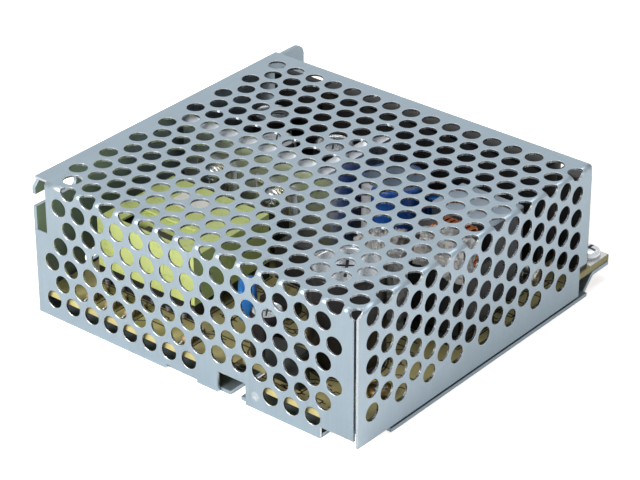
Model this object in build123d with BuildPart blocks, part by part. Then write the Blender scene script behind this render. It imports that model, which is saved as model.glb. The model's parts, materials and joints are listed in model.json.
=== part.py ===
"""Mesh-case switching power supply, in millimetres.

Two folded sheets make the case. The chassis is the base and the solid left wall, and
the perforated cover is the top, the front and the right side. The circuit board stands
on bosses and straps of the base, and its terminal block closes the open back end.

X runs across the case, from the solid wall to the right side of the cover. Y runs from
the front of the cover to the terminal end. Z is up. The origin is the middle of the
underside.
"""

import math
import os

from build123d import *

os.makedirs("parts", exist_ok=True)

# Case
case_width = 97.0
case_depth = 99.0
case_height = 36.0
left = -case_width / 2
right = case_width / 2
front = -case_depth / 2
back = case_depth / 2

# Sheet metal
cover_sheet = 0.8
cover_bend = 1.0
chassis_sheet = 1.0
chassis_bend = 1.4
inner_bend = 0.3
sheet_gap = 0.1

# Perforation, punched in the flat sheet before it is folded
hole_radius = 2.25
hole_sides = 6
hole_pitch = 6.08
row_pitch = 5.116
hole_land = 0.8

# Circuit board
board_thickness = 1.6
board_lift = 3.6
board_wall_gap = 0.6
board_front_gap = 0.3
board_bottom = chassis_sheet + board_lift
board_top = board_bottom + board_thickness
board_left = left + chassis_sheet + board_wall_gap
board_right = right - cover_sheet - board_wall_gap
board_front = front + cover_sheet + board_front_gap
seat = Plane.XY.offset(board_top)
corner = (Align.MIN, Align.MIN)

# Small round parts have this many flats, which keeps the model light
small_sides = 12


def spot(shares):
    """A place on the board, from shares of the case's width and depth."""
    across, along = shares
    return (left + across * case_width, front + along * case_depth)


# A six-sided cut takes out as much sheet as the round punch that it stands for
punch_radius = hole_radius * math.sqrt(
    2 * math.pi / (hole_sides * math.sin(2 * math.pi / hole_sides))
)
punch_turn = 90
punch_width = 2 * punch_radius * math.cos(math.pi / hole_sides)

# Cover: outline
cover_short = 11.6
cover_depth = case_depth - cover_short
cover_back = front + cover_depth
front_face_short = 1.2
front_face_width = case_width - front_face_short
front_right = left + front_face_width
corner_notch_width = 4.1
corner_notch_drop = 13.5
corner_notch_bottom = case_height - corner_notch_drop
foot_step_start = 40.6
foot_step_end = 50.2
foot_step_height = 1.2
foot_notch_start = 56.5
foot_notch_end = 64.8
foot_notch_height = 5.6
foot_end_short = 9.4
foot_end = front_face_width - foot_end_short
foot_end_height = 3.1
side_bottom = 1.6
side_step_height = 9.5
side_step_depth = 3.0
side_plain_margin = 4.5
side_front_gap = 0.1
corner_relief = 1.25

# Cover: where the rows of holes lie beside the folds
top_column_inset = 0.63
front_row_drop = 0.29
side_column_rise = 0.12


def column_x(steps):
    """Place across the top, counted in holes from the fold at the right."""
    return right - top_column_inset - steps * hole_pitch


def row_y(row):
    """Place along the top, counted in rows from the fold at the front."""
    return front + row * row_pitch


def row_z(row):
    """Height on the front face, counted in rows from the fold."""
    return case_height - front_row_drop - row * row_pitch


def column_z(steps):
    """Height on the right side, counted in holes from the fold."""
    return case_height + side_column_rise - steps * hole_pitch


def row_steps(row):
    """Holes of one row, in steps from the fold: rows alternate by half a hole."""
    shift = (row % 2) / 2
    return [step - shift for step in range(1, int(case_width / hole_pitch) + 1)]


def foot_line(x):
    """Height of the front face's lower edge at a place counted from the left."""
    if foot_step_start - hole_land < x < foot_step_end:
        return foot_step_height
    reach = hole_radius + hole_land
    if foot_notch_start - reach < x < foot_notch_end + reach:
        return foot_notch_height
    if x > foot_end - hole_land:
        return foot_end_height
    return 0


clear = hole_radius + hole_land
rows_back = int((cover_depth - clear) / row_pitch)
rows_down = int((case_height - clear) / row_pitch)
top_holes = [
    (column_x(step), row_y(row))
    for row in range(1, rows_back + 1)
    for step in row_steps(row)
    if column_x(step) - hole_radius > left + hole_land
]
front_holes = [
    (column_x(step), row_z(row))
    for row in range(1, rows_down + 1)
    for step in row_steps(row)
    if left + hole_land < column_x(step) - hole_radius
    and column_x(step) + clear < front_right
    and row_z(row) - hole_radius > foot_line(column_x(step) - left)
    and (
        column_x(step) - hole_radius > left + corner_notch_width
        or row_z(row) + clear < corner_notch_bottom
    )
]
side_holes = [
    (row_y(row), column_z(step))
    for row in range(1, rows_back + 1)
    for step in row_steps(row)
    if column_z(step) - hole_radius > side_bottom + side_plain_margin
]
front_fold_holes = [
    column_x(step)
    for step in row_steps(0)
    if column_x(step) - hole_radius > left + corner_notch_width
    and column_x(step) + clear < front_right
]
side_fold_holes = [row_y(row) for row in range(2, rows_back + 1, 2)]

side_fold_x = right - top_column_inset
flat_front = front + cover_bend
flat_right = right - cover_bend
flat_top = case_height - cover_bend
side_bend_holes = [hole for hole in side_holes if hole[1] + hole_radius > flat_top]

# Cover: the perforated sheet, folded down at the front and at the right
with BuildPart() as cover:
    # The two bends, opened where holes of the flat sheet cross them
    with BuildSketch(Plane.YZ.offset(left + corner_notch_width)):
        with Locations((flat_front, flat_top)):
            Circle(cover_bend)
            Circle(cover_bend - cover_sheet, mode=Mode.SUBTRACT)
            Rectangle(cover_bend, cover_bend, align=(Align.MAX, Align.MIN), mode=Mode.INTERSECT)
    extrude(amount=front_face_width - corner_notch_width - corner_relief)
    with BuildSketch(Plane.XZ.offset(-flat_front)):
        with Locations((flat_right, flat_top)):
            Circle(cover_bend)
            Circle(cover_bend - cover_sheet, mode=Mode.SUBTRACT)
            Rectangle(cover_bend, cover_bend, align=corner, mode=Mode.INTERSECT)
    extrude(amount=-(cover_back - flat_front))
    with BuildSketch(Plane.XY.offset(flat_top)):
        with Locations(*[(x, flat_front) for x in front_fold_holes]):
            Rectangle(punch_width, cover_bend, align=(Align.CENTER, Align.MAX))
        with Locations(*[(flat_right, y) for y in side_fold_holes]):
            Rectangle(cover_bend, punch_width, align=(Align.MIN, Align.CENTER))
    extrude(amount=cover_bend, mode=Mode.SUBTRACT)
    with BuildSketch(Plane.YZ.offset(right)):
        with Locations(*side_bend_holes):
            RegularPolygon(punch_radius, hole_sides, rotation=0)
    extrude(amount=-cover_bend, mode=Mode.SUBTRACT)
    # Top
    with BuildSketch(Plane.XY.offset(case_height - cover_sheet)):
        with Locations((flat_right, flat_front)):
            top_width = case_width - cover_bend
            Rectangle(top_width, cover_depth - cover_bend, align=(Align.MAX, Align.MIN))
        with Locations((flat_right, flat_front)):
            Circle(corner_relief, mode=Mode.SUBTRACT)
        with Locations(*top_holes, *[(x, front) for x in front_fold_holes]):
            RegularPolygon(punch_radius, hole_sides, rotation=punch_turn, mode=Mode.SUBTRACT)
        with Locations(*[(side_fold_x, y) for y in side_fold_holes]):
            RegularPolygon(punch_radius, hole_sides, rotation=punch_turn, mode=Mode.SUBTRACT)
    extrude(amount=cover_sheet, clean=False)
    # Front face
    with BuildSketch(Plane.XZ.offset(-front)):
        with Locations((left, 0)):
            Rectangle(front_face_width, flat_top, align=corner)
        with Locations((left, corner_notch_bottom)):
            Rectangle(corner_notch_width, case_height, align=corner, mode=Mode.SUBTRACT)
        with Locations((left + foot_step_start, 0)):
            step_width = foot_step_end - foot_step_start
            Rectangle(step_width, foot_step_height, align=corner, mode=Mode.SUBTRACT)
        with Locations((left + foot_notch_start, 0)):
            notch_width = foot_notch_end - foot_notch_start
            Rectangle(notch_width, foot_notch_height, align=corner, mode=Mode.SUBTRACT)
        with Locations((left + foot_end, 0)):
            Rectangle(case_width, foot_end_height, align=corner, mode=Mode.SUBTRACT)
        with Locations((front_right, flat_top)):
            Circle(corner_relief, mode=Mode.SUBTRACT)
        with Locations(*front_holes, *[(x, row_z(0)) for x in front_fold_holes]):
            RegularPolygon(punch_radius, hole_sides, rotation=punch_turn, mode=Mode.SUBTRACT)
    extrude(amount=-cover_sheet, clean=False)
    # Right side, with its lower corner stepped in at the terminal end
    with BuildSketch(Plane.YZ.offset(right)):
        with Locations((cover_back, side_bottom)):
            side_height = flat_top - side_bottom
            Rectangle(cover_depth - side_front_gap, side_height, align=(Align.MAX, Align.MIN))
            Rectangle(
                side_step_depth,
                side_step_height - side_bottom,
                align=(Align.MAX, Align.MIN),
                mode=Mode.SUBTRACT,
            )
        with Locations(*side_holes, *[(y, column_z(0)) for y in side_fold_holes]):
            RegularPolygon(punch_radius, hole_sides, rotation=0, mode=Mode.SUBTRACT)
    extrude(amount=-cover_sheet, clean=False)
cover.part.label = "cover"
export_step(cover.part, "parts/cover.step")

# Chassis: base and left wall folded from one sheet, with straps and bosses for the board
base_front = front + cover_sheet + sheet_gap
base_back_short = 11.0
base_back = back - base_back_short
wall_back_short = 1.6
wall_back = back - wall_back_short
wall_top = case_height - cover_sheet
wall_front_chamfer = 1.6
wall_back_radius = 3.0
base_corner_width = 10.6
base_corner_depth = 11.0
slot_width = 3.2
slot_depth = 9.0
base_slot_from_left = 61.1
wall_slot_drop = 5.0
wall_hole_from_front = 19.0
wall_hole_height = 8.2
wall_hole_length = 8.0
base_hole_from_back = 3.4
strap_width = 9.5
strap_edge_gap = 1.2
strap_flat = 0.6
strap_rise = board_lift
strap_mitre = chassis_sheet * math.tan(math.radians(45) / 2)
strap_end = back - board_front_gap
boss_radius = 3.0
screw_radius = 1.5
screw_clearance = 0.1
board_screw_from_front = 15.5
board_screw_from_right = 6.0
post_from_left = 5.0
strap_screw_from_back = 3.2
strap_screw_from_side = 5.2
slot_x = left + base_slot_from_left
boss_place = (right - board_screw_from_right, front + board_screw_from_front)
post_place = (left + post_from_left, front + board_screw_from_front)
strap_places = [
    (left + strap_screw_from_side, back - strap_screw_from_back),
    (right - strap_screw_from_side, back - strap_screw_from_back),
]
strap_lefts = [left + strap_edge_gap, right - strap_edge_gap - strap_width]

with BuildPart() as chassis:
    with BuildSketch():
        with Locations((right, base_front)):
            base_width = case_width - chassis_bend
            Rectangle(base_width, base_back - base_front, align=(Align.MAX, Align.MIN))
            Rectangle(
                base_corner_width,
                base_corner_depth,
                align=(Align.MAX, Align.MIN),
                mode=Mode.SUBTRACT,
            )
        with Locations((slot_x, base_front + slot_depth / 2)):
            SlotOverall(2 * slot_depth, slot_width, rotation=90, mode=Mode.SUBTRACT)
        with Locations((slot_x, base_back - base_hole_from_back)):
            Circle(slot_width / 2, mode=Mode.SUBTRACT)
    extrude(amount=chassis_sheet)
    with BuildSketch(Plane.YZ.offset(left)) as wall:
        with Locations((base_front, chassis_bend)):
            Rectangle(wall_back - base_front, wall_top - chassis_bend, align=corner)
        with Locations((front, corner_notch_bottom + sheet_gap)):
            tab_height = wall_top - corner_notch_bottom - sheet_gap
            Rectangle(chassis_bend, tab_height, align=corner)
        chamfer(wall.vertices().sort_by_distance((front, wall_top))[0], wall_front_chamfer)
        fillet(wall.vertices().sort_by_distance((wall_back, wall_top))[0], wall_back_radius)
        with Locations((front + slot_depth / 2, wall_top - wall_slot_drop)):
            SlotOverall(2 * slot_depth, slot_width, mode=Mode.SUBTRACT)
        with Locations((front + wall_hole_from_front, wall_hole_height)):
            SlotOverall(wall_hole_length, slot_width, mode=Mode.SUBTRACT)
    extrude(amount=chassis_sheet)
    with BuildSketch(Plane.XZ.offset(-base_front)):
        with Locations((left + chassis_bend, chassis_bend)):
            Circle(chassis_bend)
            Circle(chassis_bend - chassis_sheet, mode=Mode.SUBTRACT)
            Rectangle(chassis_bend, chassis_bend, align=(Align.MAX, Align.MAX), mode=Mode.INTERSECT)
    extrude(amount=-(base_back - base_front))
    # Straps: bent up from the base at the terminal end, to carry the end of the board
    for strap_left in strap_lefts:
        with BuildSketch(Plane.YZ.offset(strap_left)):
            with BuildLine():
                foot = base_back + strap_flat
                Polyline(
                    (base_back, 0),
                    (foot, 0),
                    (foot + strap_rise, strap_rise),
                    (strap_end, strap_rise),
                    (strap_end, strap_rise + chassis_sheet),
                    (foot + strap_rise - strap_mitre, strap_rise + chassis_sheet),
                    (foot - strap_mitre, chassis_sheet),
                    (base_back, chassis_sheet),
                    close=True,
                )
            make_face()
        extrude(amount=strap_width)
    # Bosses pressed up from the base
    with BuildSketch(Plane.XY.offset(chassis_sheet)):
        with Locations(boss_place, post_place):
            RegularPolygon(boss_radius, small_sides)
    extrude(amount=board_lift)
    with BuildSketch():
        with Locations(boss_place, *strap_places):
            RegularPolygon(screw_radius + screw_clearance, small_sides)
    extrude(amount=board_bottom, mode=Mode.SUBTRACT)
chassis.part.label = "chassis"
export_step(chassis.part, "parts/chassis.step")

# Insulating sheet between the base and the solder side of the board
sheet_thickness = 0.4
sheet_from_left = 3.0
sheet_from_right = 3.0
sheet_from_front = 20.0
sheet_from_back = 17.0
with BuildPart() as insulating_sheet:
    with BuildSketch(Plane.XY.offset(chassis_sheet)):
        with Locations((left + sheet_from_left, front + sheet_from_front)):
            Rectangle(
                case_width - sheet_from_left - sheet_from_right,
                case_depth - sheet_from_front - sheet_from_back,
                align=corner,
            )
    extrude(amount=sheet_thickness)
insulating_sheet.part.label = "insulating_sheet"
export_step(insulating_sheet.part, "parts/insulating_sheet.step")

# Circuit board, notched beside the slot of the base
board_notch_start = 57.8
board_notch_end = 66.2
board_notch_depth = 6.0
with BuildPart() as circuit_board:
    with BuildSketch(Plane.XY.offset(board_bottom)):
        with Locations((board_left, board_front)):
            Rectangle(board_right - board_left, back - board_front, align=corner)
        with Locations((left + board_notch_start, board_front)):
            notch_width = board_notch_end - board_notch_start
            Rectangle(notch_width, board_notch_depth, align=corner, mode=Mode.SUBTRACT)
        with Locations(boss_place, *strap_places):
            RegularPolygon(screw_radius + screw_clearance, small_sides, mode=Mode.SUBTRACT)
    extrude(amount=board_thickness)
circuit_board.part.label = "circuit_board"
export_step(circuit_board.part, "parts/circuit_board.step")

# Screws that hold the board: pan heads on the board, shanks into the boss and the straps
head_radius = 3.0
head_height = 2.0
shank_length = board_thickness + chassis_sheet
with BuildPart() as board_screws:
    with BuildSketch(seat):
        with Locations(boss_place, *strap_places):
            RegularPolygon(head_radius, small_sides)
    extrude(amount=head_height)
    with BuildSketch(seat):
        with Locations(boss_place, *strap_places):
            RegularPolygon(screw_radius, small_sides)
    extrude(amount=-shank_length)
board_screws.part.label = "board_screws"
export_step(board_screws.part, "parts/board_screws.step")

# Terminal block: a moulding with one open pocket for each wire
terminal_pitch = 9.5
terminal_barrier = 1.3
terminal_depth = 16.2
terminal_height = 19.4
terminal_floor = 8.0
terminal_inner_wall = 4.0
terminal_from_left = 18.4
terminal_from_right = 10.2
terminal_from_back = 0.6
terminal_room = case_width - terminal_from_left - terminal_from_right - terminal_barrier
terminal_count = int(terminal_room / terminal_pitch)
terminal_width = terminal_count * terminal_pitch + terminal_barrier
terminal_left = left + terminal_from_left
terminal_front = back - terminal_from_back - terminal_depth
pocket_width = terminal_pitch - terminal_barrier
pocket_depth = terminal_depth - terminal_inner_wall
pocket_lefts = [
    terminal_left + terminal_barrier + index * terminal_pitch for index in range(terminal_count)
]
pocket_front = terminal_front + terminal_inner_wall
with BuildPart() as terminal_block:
    with BuildSketch(seat):
        with Locations((terminal_left, terminal_front)):
            Rectangle(terminal_width, terminal_depth, align=corner)
    extrude(amount=terminal_height)
    with BuildSketch(seat.offset(terminal_floor)):
        with Locations(*[(x, pocket_front) for x in pocket_lefts]):
            Rectangle(pocket_width, pocket_depth, align=corner)
    extrude(amount=terminal_height - terminal_floor, mode=Mode.SUBTRACT)
terminal_block.part.label = "terminal_block"
export_step(terminal_block.part, "parts/terminal_block.step")

# Terminal plates and the screws that clamp the wires on them
plate_thickness = 1.2
plate_gap = 0.3
terminal_screw_radius = 3.0
terminal_screw_height = 2.4
terminal_centres = [
    (x + pocket_width / 2, pocket_front + pocket_depth / 2) for x in pocket_lefts
]
with BuildPart() as terminal_plates:
    with BuildSketch(seat.offset(terminal_floor)):
        with Locations(*terminal_centres):
            Rectangle(pocket_width - 2 * plate_gap, pocket_depth - 2 * plate_gap)
    extrude(amount=plate_thickness)
terminal_plates.part.label = "terminal_plates"
export_step(terminal_plates.part, "parts/terminal_plates.step")

with BuildPart() as terminal_screws:
    with BuildSketch(seat.offset(terminal_floor + plate_thickness)):
        with Locations(*terminal_centres):
            RegularPolygon(terminal_screw_radius, small_sides)
    extrude(amount=terminal_screw_height)
terminal_screws.part.label = "terminal_screws"
export_step(terminal_screws.part, "parts/terminal_screws.step")

# Voltage trimmer beside the terminals: a square body and a slotted rotor that turns in it
trimmer_size = 6.6
trimmer_height = 4.8
trimmer_from_left = 13.4
trimmer_from_back = 7.4
rotor_radius = 2.4
rotor_height = 1.7
rotor_sink = 1.0
rotor_gap = 0.15
rotor_slot_width = 0.6
rotor_slot_depth = 0.7
trimmer_place = (left + trimmer_from_left, back - trimmer_from_back)
rotor_floor = board_top + trimmer_height - rotor_sink
with BuildPart() as trimmer_body:
    with BuildSketch(seat):
        with Locations(trimmer_place):
            Rectangle(trimmer_size, trimmer_size)
    extrude(amount=trimmer_height)
    with BuildSketch(Plane.XY.offset(rotor_floor)):
        with Locations(trimmer_place):
            Circle(rotor_radius + rotor_gap)
    extrude(amount=rotor_sink, mode=Mode.SUBTRACT)
trimmer_body.part.label = "trimmer_body"
export_step(trimmer_body.part, "parts/trimmer_body.step")

with BuildPart() as trimmer_rotor:
    with BuildSketch(Plane.XY.offset(rotor_floor + rotor_gap)):
        with Locations(trimmer_place):
            RegularPolygon(rotor_radius, small_sides)
    extrude(amount=rotor_height)
    with BuildSketch(Plane.XY.offset(rotor_floor + rotor_gap + rotor_height)):
        with Locations(trimmer_place):
            Rectangle(2 * rotor_radius, rotor_slot_width)
    extrude(amount=-rotor_slot_depth, mode=Mode.SUBTRACT)
trimmer_rotor.part.label = "trimmer_rotor"
export_step(trimmer_rotor.part, "parts/trimmer_rotor.step")

# Indicator lamp: a small diode with a rounded tip
lamp_radius = 1.5
lamp_height = 4.4
lamp_tip = 0.8
lamp_from_left = 6.0
lamp_from_back = 9.0
with BuildPart() as indicator_lamp:
    with BuildSketch(seat):
        with Locations((left + lamp_from_left, back - lamp_from_back)):
            RegularPolygon(lamp_radius, small_sides)
    extrude(amount=lamp_height)
    chamfer(indicator_lamp.faces().sort_by(Axis.Z)[-1].edges(), lamp_tip)
indicator_lamp.part.label = "indicator_lamp"
export_step(indicator_lamp.part, "parts/indicator_lamp.step")

# Transformer: bobbin with pin rails, ferrite core, winding and the tape around them
transformer_width = 30.4
transformer_length = 26.6
transformer_height = 17.2
transformer_from_left = 8.7
transformer_from_front = 12.0
bobbin_height = 4.3
bobbin_plate = 1.5
rail_depth = 5.0
tape = 0.6
core_leg = 10.4
core_bar = 5.0
core_height = 9.8
winding_side = 4.2
winding_cover = 1.2
winding_length = 14.0
transformer_left = left + transformer_from_left
transformer_front = front + transformer_from_front
transformer_x = transformer_left + transformer_width / 2
transformer_y = transformer_front + transformer_length / 2
bobbin_top = board_top + bobbin_height
core_bottom = bobbin_top + winding_cover
core_width = transformer_width - 2 * tape
core_length = transformer_length - 2 * tape
winding_width = core_leg + 2 * winding_side
with BuildPart() as transformer_bobbin:
    with BuildSketch(Plane.XY.offset(bobbin_top - bobbin_plate)):
        with Locations((transformer_x, transformer_y)):
            Rectangle(transformer_width, transformer_length)
    extrude(amount=bobbin_plate)
    with BuildSketch(seat):
        rail_y = (transformer_length - rail_depth) / 2
        with Locations((transformer_x, transformer_y - rail_y), (transformer_x, transformer_y + rail_y)):
            Rectangle(transformer_width, rail_depth)
    extrude(amount=bobbin_height - bobbin_plate)
transformer_bobbin.part.label = "transformer_bobbin"
export_step(transformer_bobbin.part, "parts/transformer_bobbin.step")

with BuildPart() as transformer_core:
    with BuildSketch(Plane.XY.offset(core_bottom)):
        with Locations((transformer_x, transformer_y)):
            Rectangle(core_width, core_length)
            window_x = (core_leg + winding_side) / 2
            with Locations((-window_x, 0), (window_x, 0)):
                Rectangle(winding_side, core_length - 2 * core_bar, mode=Mode.SUBTRACT)
    extrude(amount=core_height)
transformer_core.part.label = "transformer_core"
export_step(transformer_core.part, "parts/transformer_core.step")

with BuildPart() as transformer_winding:
    winding_y = transformer_y + core_length / 2 - core_bar - winding_length
    with BuildSketch(Plane.XZ.offset(-winding_y)):
        with Locations((transformer_x, core_bottom + core_height / 2)):
            Rectangle(winding_width, core_height + 2 * winding_cover)
            Rectangle(core_leg, core_height, mode=Mode.SUBTRACT)
    extrude(amount=-winding_length)
transformer_winding.part.label = "transformer_winding"
export_step(transformer_winding.part, "parts/transformer_winding.step")

tape_opening_width = 17.0
tape_opening_depth = 7.5
tape_opening_from_left = 5.3
tape_opening_from_front = 2.5
tape_height = transformer_height - bobbin_height
with BuildPart() as transformer_tape:
    with BuildSketch(Plane.XY.offset(bobbin_top)):
        with Locations((transformer_x, transformer_y)):
            Rectangle(transformer_width, transformer_length)
            Rectangle(core_width, core_length, mode=Mode.SUBTRACT)
    extrude(amount=tape_height)
    with BuildSketch(Plane.XY.offset(board_top + transformer_height - tape)):
        with Locations((transformer_x, transformer_y)):
            Rectangle(core_width, core_length)
        with Locations(
            (transformer_left + tape_opening_from_left, transformer_front + tape_opening_from_front)
        ):
            Rectangle(tape_opening_width, tape_opening_depth, align=corner, mode=Mode.SUBTRACT)
    extrude(amount=tape)
transformer_tape.part.label = "transformer_tape"
export_step(transformer_tape.part, "parts/transformer_tape.step")

label_width = 9.5
label_length = 7.5
label_thickness = 0.1
label_from_left = 7.8
label_from_front = 16.0
with BuildPart() as transformer_label:
    with BuildSketch(seat.offset(transformer_height)):
        with Locations((transformer_left + label_from_left, transformer_front + label_from_front)):
            Rectangle(label_width, label_length, align=corner)
    extrude(amount=label_thickness)
transformer_label.part.label = "transformer_label"
export_step(transformer_label.part, "parts/transformer_label.step")

# Mains capacitor: aluminium can in a shrunk sleeve that curls over the rim
main_radius = 9.0
main_headroom = 4.0
main_height = case_height - cover_sheet - main_headroom - board_top
sleeve_thickness = 0.3
sleeve_lip = 1.2
main_shares = (0.789, 0.217)
main_place = spot(main_shares)
with BuildPart() as main_capacitor_sleeve:
    with BuildSketch(seat):
        with Locations(main_place):
            Circle(main_radius)
    extrude(amount=main_height)
    with BuildSketch(seat):
        with Locations(main_place):
            Circle(main_radius - sleeve_thickness)
    extrude(amount=main_height - sleeve_thickness, mode=Mode.SUBTRACT)
    with BuildSketch(seat):
        with Locations(main_place):
            Circle(main_radius - sleeve_lip)
    extrude(amount=main_height, mode=Mode.SUBTRACT)
main_capacitor_sleeve.part.label = "main_capacitor_sleeve"
export_step(main_capacitor_sleeve.part, "parts/main_capacitor_sleeve.step")

with BuildPart() as main_capacitor_can:
    with BuildSketch(seat):
        with Locations(main_place):
            Circle(main_radius - sleeve_thickness)
    extrude(amount=main_height - sleeve_thickness)
main_capacitor_can.part.label = "main_capacitor_can"
export_step(main_capacitor_can.part, "parts/main_capacitor_can.step")


def upright_can(name, radius, height, *places):
    """Sleeved electrolytic capacitors that stand on the board, each a solid of its own."""
    with BuildPart() as can:
        with BuildSketch(seat):
            with Locations(*places):
                Circle(radius)
        extrude(amount=height)
    can.part.label = name
    export_step(can.part, f"parts/{name}.step")


def board_block(name, width, length, height, *places):
    """Moulded blocks that stand on the board, each a solid of its own."""
    with BuildPart() as block:
        with BuildSketch(seat):
            with Locations(*places):
                Rectangle(width, length)
        extrude(amount=height)
    block.part.label = name
    export_step(block.part, f"parts/{name}.step")


def leaded_disc(name, radius, thickness, stand_off, facing, place):
    """A dipped disc upright on two leads, facing a way given in degrees from X."""
    x, y = place
    lead = thickness / 6
    turn = math.radians(facing)
    across = (-math.sin(turn), math.cos(turn), 0)
    middle = Plane(
        (x, y, board_top + stand_off + radius),
        x_dir=across,
        z_dir=(math.cos(turn), math.sin(turn), 0),
    )
    with BuildPart() as disc:
        with BuildSketch(middle):
            Circle(radius)
        extrude(amount=thickness / 2, both=True)
        with BuildSketch(Plane((x, y, board_top), x_dir=across, z_dir=(0, 0, 1))):
            with Locations((-radius / 2, 0), (radius / 2, 0)):
                Rectangle(lead, lead)
        extrude(amount=stand_off + radius / 2)
    disc.part.label = name
    export_step(disc.part, f"parts/{name}.step")


def lying_rods(name, radius, length, *places):
    """Axial parts that lie on the board, front to back, each a solid of its own."""
    with BuildPart() as rods:
        for x, y in places:
            with BuildSketch(Plane.XZ.offset(-y)):
                with Locations((x, board_top + radius)):
                    RegularPolygon(radius, small_sides)
            extrude(amount=length / 2, both=True)
    rods.part.label = name
    export_step(rods.part, f"parts/{name}.step")


# Electrolytic capacitors that stand on the board
auxiliary_radius = 4.0
auxiliary_height = 11.5
auxiliary_shares = (0.627, 0.125)
filter_radius = 8.0
filter_headroom = 4.5
filter_height = case_height - cover_sheet - filter_headroom - board_top
filter_shares = (0.607, 0.621)
output_radius = 5.0
output_height = 20.0
output_shares = [(0.088, 0.764), (0.196, 0.657), (0.32, 0.733)]
output_places = [spot(shares) for shares in output_shares]
upright_can("auxiliary_capacitor", auxiliary_radius, auxiliary_height, spot(auxiliary_shares))
upright_can("filter_capacitor", filter_radius, filter_height, spot(filter_shares))
upright_can("output_capacitors", output_radius, output_height, *output_places)

# Discs on leads: the safety capacitor between the two sides, a thermistor and a varistor
safety_radius = 5.3
safety_thickness = 4.5
safety_stand_off = 3.0
safety_facing = 40.0
safety_shares = (0.522, 0.176)
thermistor_radius = 5.0
thermistor_thickness = 4.0
thermistor_shares = (0.716, 0.369)
varistor_radius = 5.5
varistor_thickness = 4.0
varistor_shares = (0.629, 0.77)
disc_stand_off = 2.5
disc_facing = 90.0
leaded_disc(
    "safety_capacitor",
    safety_radius,
    safety_thickness,
    safety_stand_off,
    safety_facing,
    spot(safety_shares),
)
leaded_disc(
    "thermistor",
    thermistor_radius,
    thermistor_thickness,
    disc_stand_off,
    disc_facing,
    spot(thermistor_shares),
)
leaded_disc(
    "varistor",
    varistor_radius,
    varistor_thickness,
    disc_stand_off,
    disc_facing,
    spot(varistor_shares),
)

# Moulded blocks on the board: width, length and height
mains_headroom = 5.2
mains_height = case_height - cover_sheet - mains_headroom - board_top
mains_block = (18.0, 12.0, mains_height)
mains_shares = (0.835, 0.65)
bridge_block = (16.0, 3.6, 15.0)
bridge_shares = (0.536, 0.369)
film_block = (10.0, 4.0, 9.0)
film_shares = (0.742, 0.063)
coupler_block = (4.6, 6.5, 3.5)
coupler_shares = [(0.418, 0.742), (0.115, 0.626)]
controller_block = (9.6, 5.4, 3.6)
controller_shares = (0.531, 0.283)
board_block("mains_capacitor", *mains_block, spot(mains_shares))
board_block("bridge_rectifier", *bridge_block, spot(bridge_shares))
board_block("film_capacitor", *film_block, spot(film_shares))
board_block("optocouplers", *coupler_block, *[spot(shares) for shares in coupler_shares])
board_block("controller_chip", *controller_block, spot(controller_shares))

# Resistors and diodes along the board
resistor_radius = 1.3
resistor_length = 6.2
resistor_shares = [(0.144, 0.055), (0.206, 0.055), (0.268, 0.055), (0.454, 0.055)]
diode_radius = 1.6
diode_length = 6.5
diode_shares = [(0.546, 0.449), (0.608, 0.449)]
resistor_places = [spot(shares) for shares in resistor_shares]
diode_places = [spot(shares) for shares in diode_shares]
lying_rods("resistors", resistor_radius, resistor_length, *resistor_places)
lying_rods("diodes", diode_radius, diode_length, *diode_places)

# Fuse: a glass tube with a metal cap over each end, lying across the board
fuse_radius = 2.4
fuse_cap_radius = 2.9
fuse_length = 20.0
fuse_cap_length = 5.0
fuse_cap_end = 1.0
fuse_gap = 0.1
fuse_shares = (0.845, 0.76)
fuse_x, fuse_y = spot(fuse_shares)
fuse_z = board_top + fuse_cap_radius
glass_length = fuse_length - 2 * fuse_cap_end
cap_reach = fuse_cap_length - fuse_cap_end
with BuildPart() as fuse_tube:
    with BuildSketch(Plane.YZ.offset(fuse_x - glass_length / 2)):
        with Locations((fuse_y, fuse_z)):
            RegularPolygon(fuse_radius, small_sides)
    extrude(amount=glass_length)
fuse_tube.part.label = "fuse_tube"
export_step(fuse_tube.part, "parts/fuse_tube.step")

with BuildPart() as fuse_caps:
    for side in (-1, 1):
        with BuildSketch(Plane.YZ.offset(fuse_x + side * fuse_length / 2)):
            with Locations((fuse_y, fuse_z)):
                RegularPolygon(fuse_cap_radius, small_sides)
        extrude(amount=-side * fuse_cap_length)
        with BuildSketch(Plane.YZ.offset(fuse_x + side * glass_length / 2)):
            with Locations((fuse_y, fuse_z)):
                RegularPolygon(fuse_radius + fuse_gap, small_sides)
        extrude(amount=-side * cap_reach, mode=Mode.SUBTRACT)
fuse_caps.part.label = "fuse_caps"
export_step(fuse_caps.part, "parts/fuse_caps.step")

# Heat sink: an angle in plan, with a flange along its top edge
sink_from_left = 3.0
sink_headroom = 1.7
sink_plate = 2.5
sink_flange = 1.5
sink_flange_reach = 1.9
sink_corner_shares = (0.507, 0.494)
sink_end_share = 0.742
sink_left = left + sink_from_left
sink_right, sink_front = spot(sink_corner_shares)
sink_back = front + sink_end_share * case_depth
sink_flange_front = sink_front - sink_flange_reach
sink_flange_left = sink_right - sink_plate - sink_flange_reach
sink_under = case_height - cover_sheet - sink_headroom - sink_flange
with BuildPart() as heat_sink:
    with BuildSketch(seat):
        with Locations((sink_left, sink_front)):
            Rectangle(sink_right - sink_left, sink_plate, align=corner)
        with Locations((sink_right, sink_front)):
            Rectangle(sink_plate, sink_back - sink_front, align=(Align.MAX, Align.MIN))
    extrude(amount=sink_under - board_top)
    with BuildSketch(Plane.XY.offset(sink_under)):
        with Locations((sink_left, sink_flange_front)):
            flange_depth = sink_front + sink_plate - sink_flange_front
            Rectangle(sink_right - sink_left, flange_depth, align=corner)
        with Locations((sink_right, sink_flange_front)):
            Rectangle(
                sink_right - sink_flange_left,
                sink_back - sink_flange_front,
                align=(Align.MAX, Align.MIN),
            )
    extrude(amount=sink_flange)
heat_sink.part.label = "heat_sink"
export_step(heat_sink.part, "parts/heat_sink.step")

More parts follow.
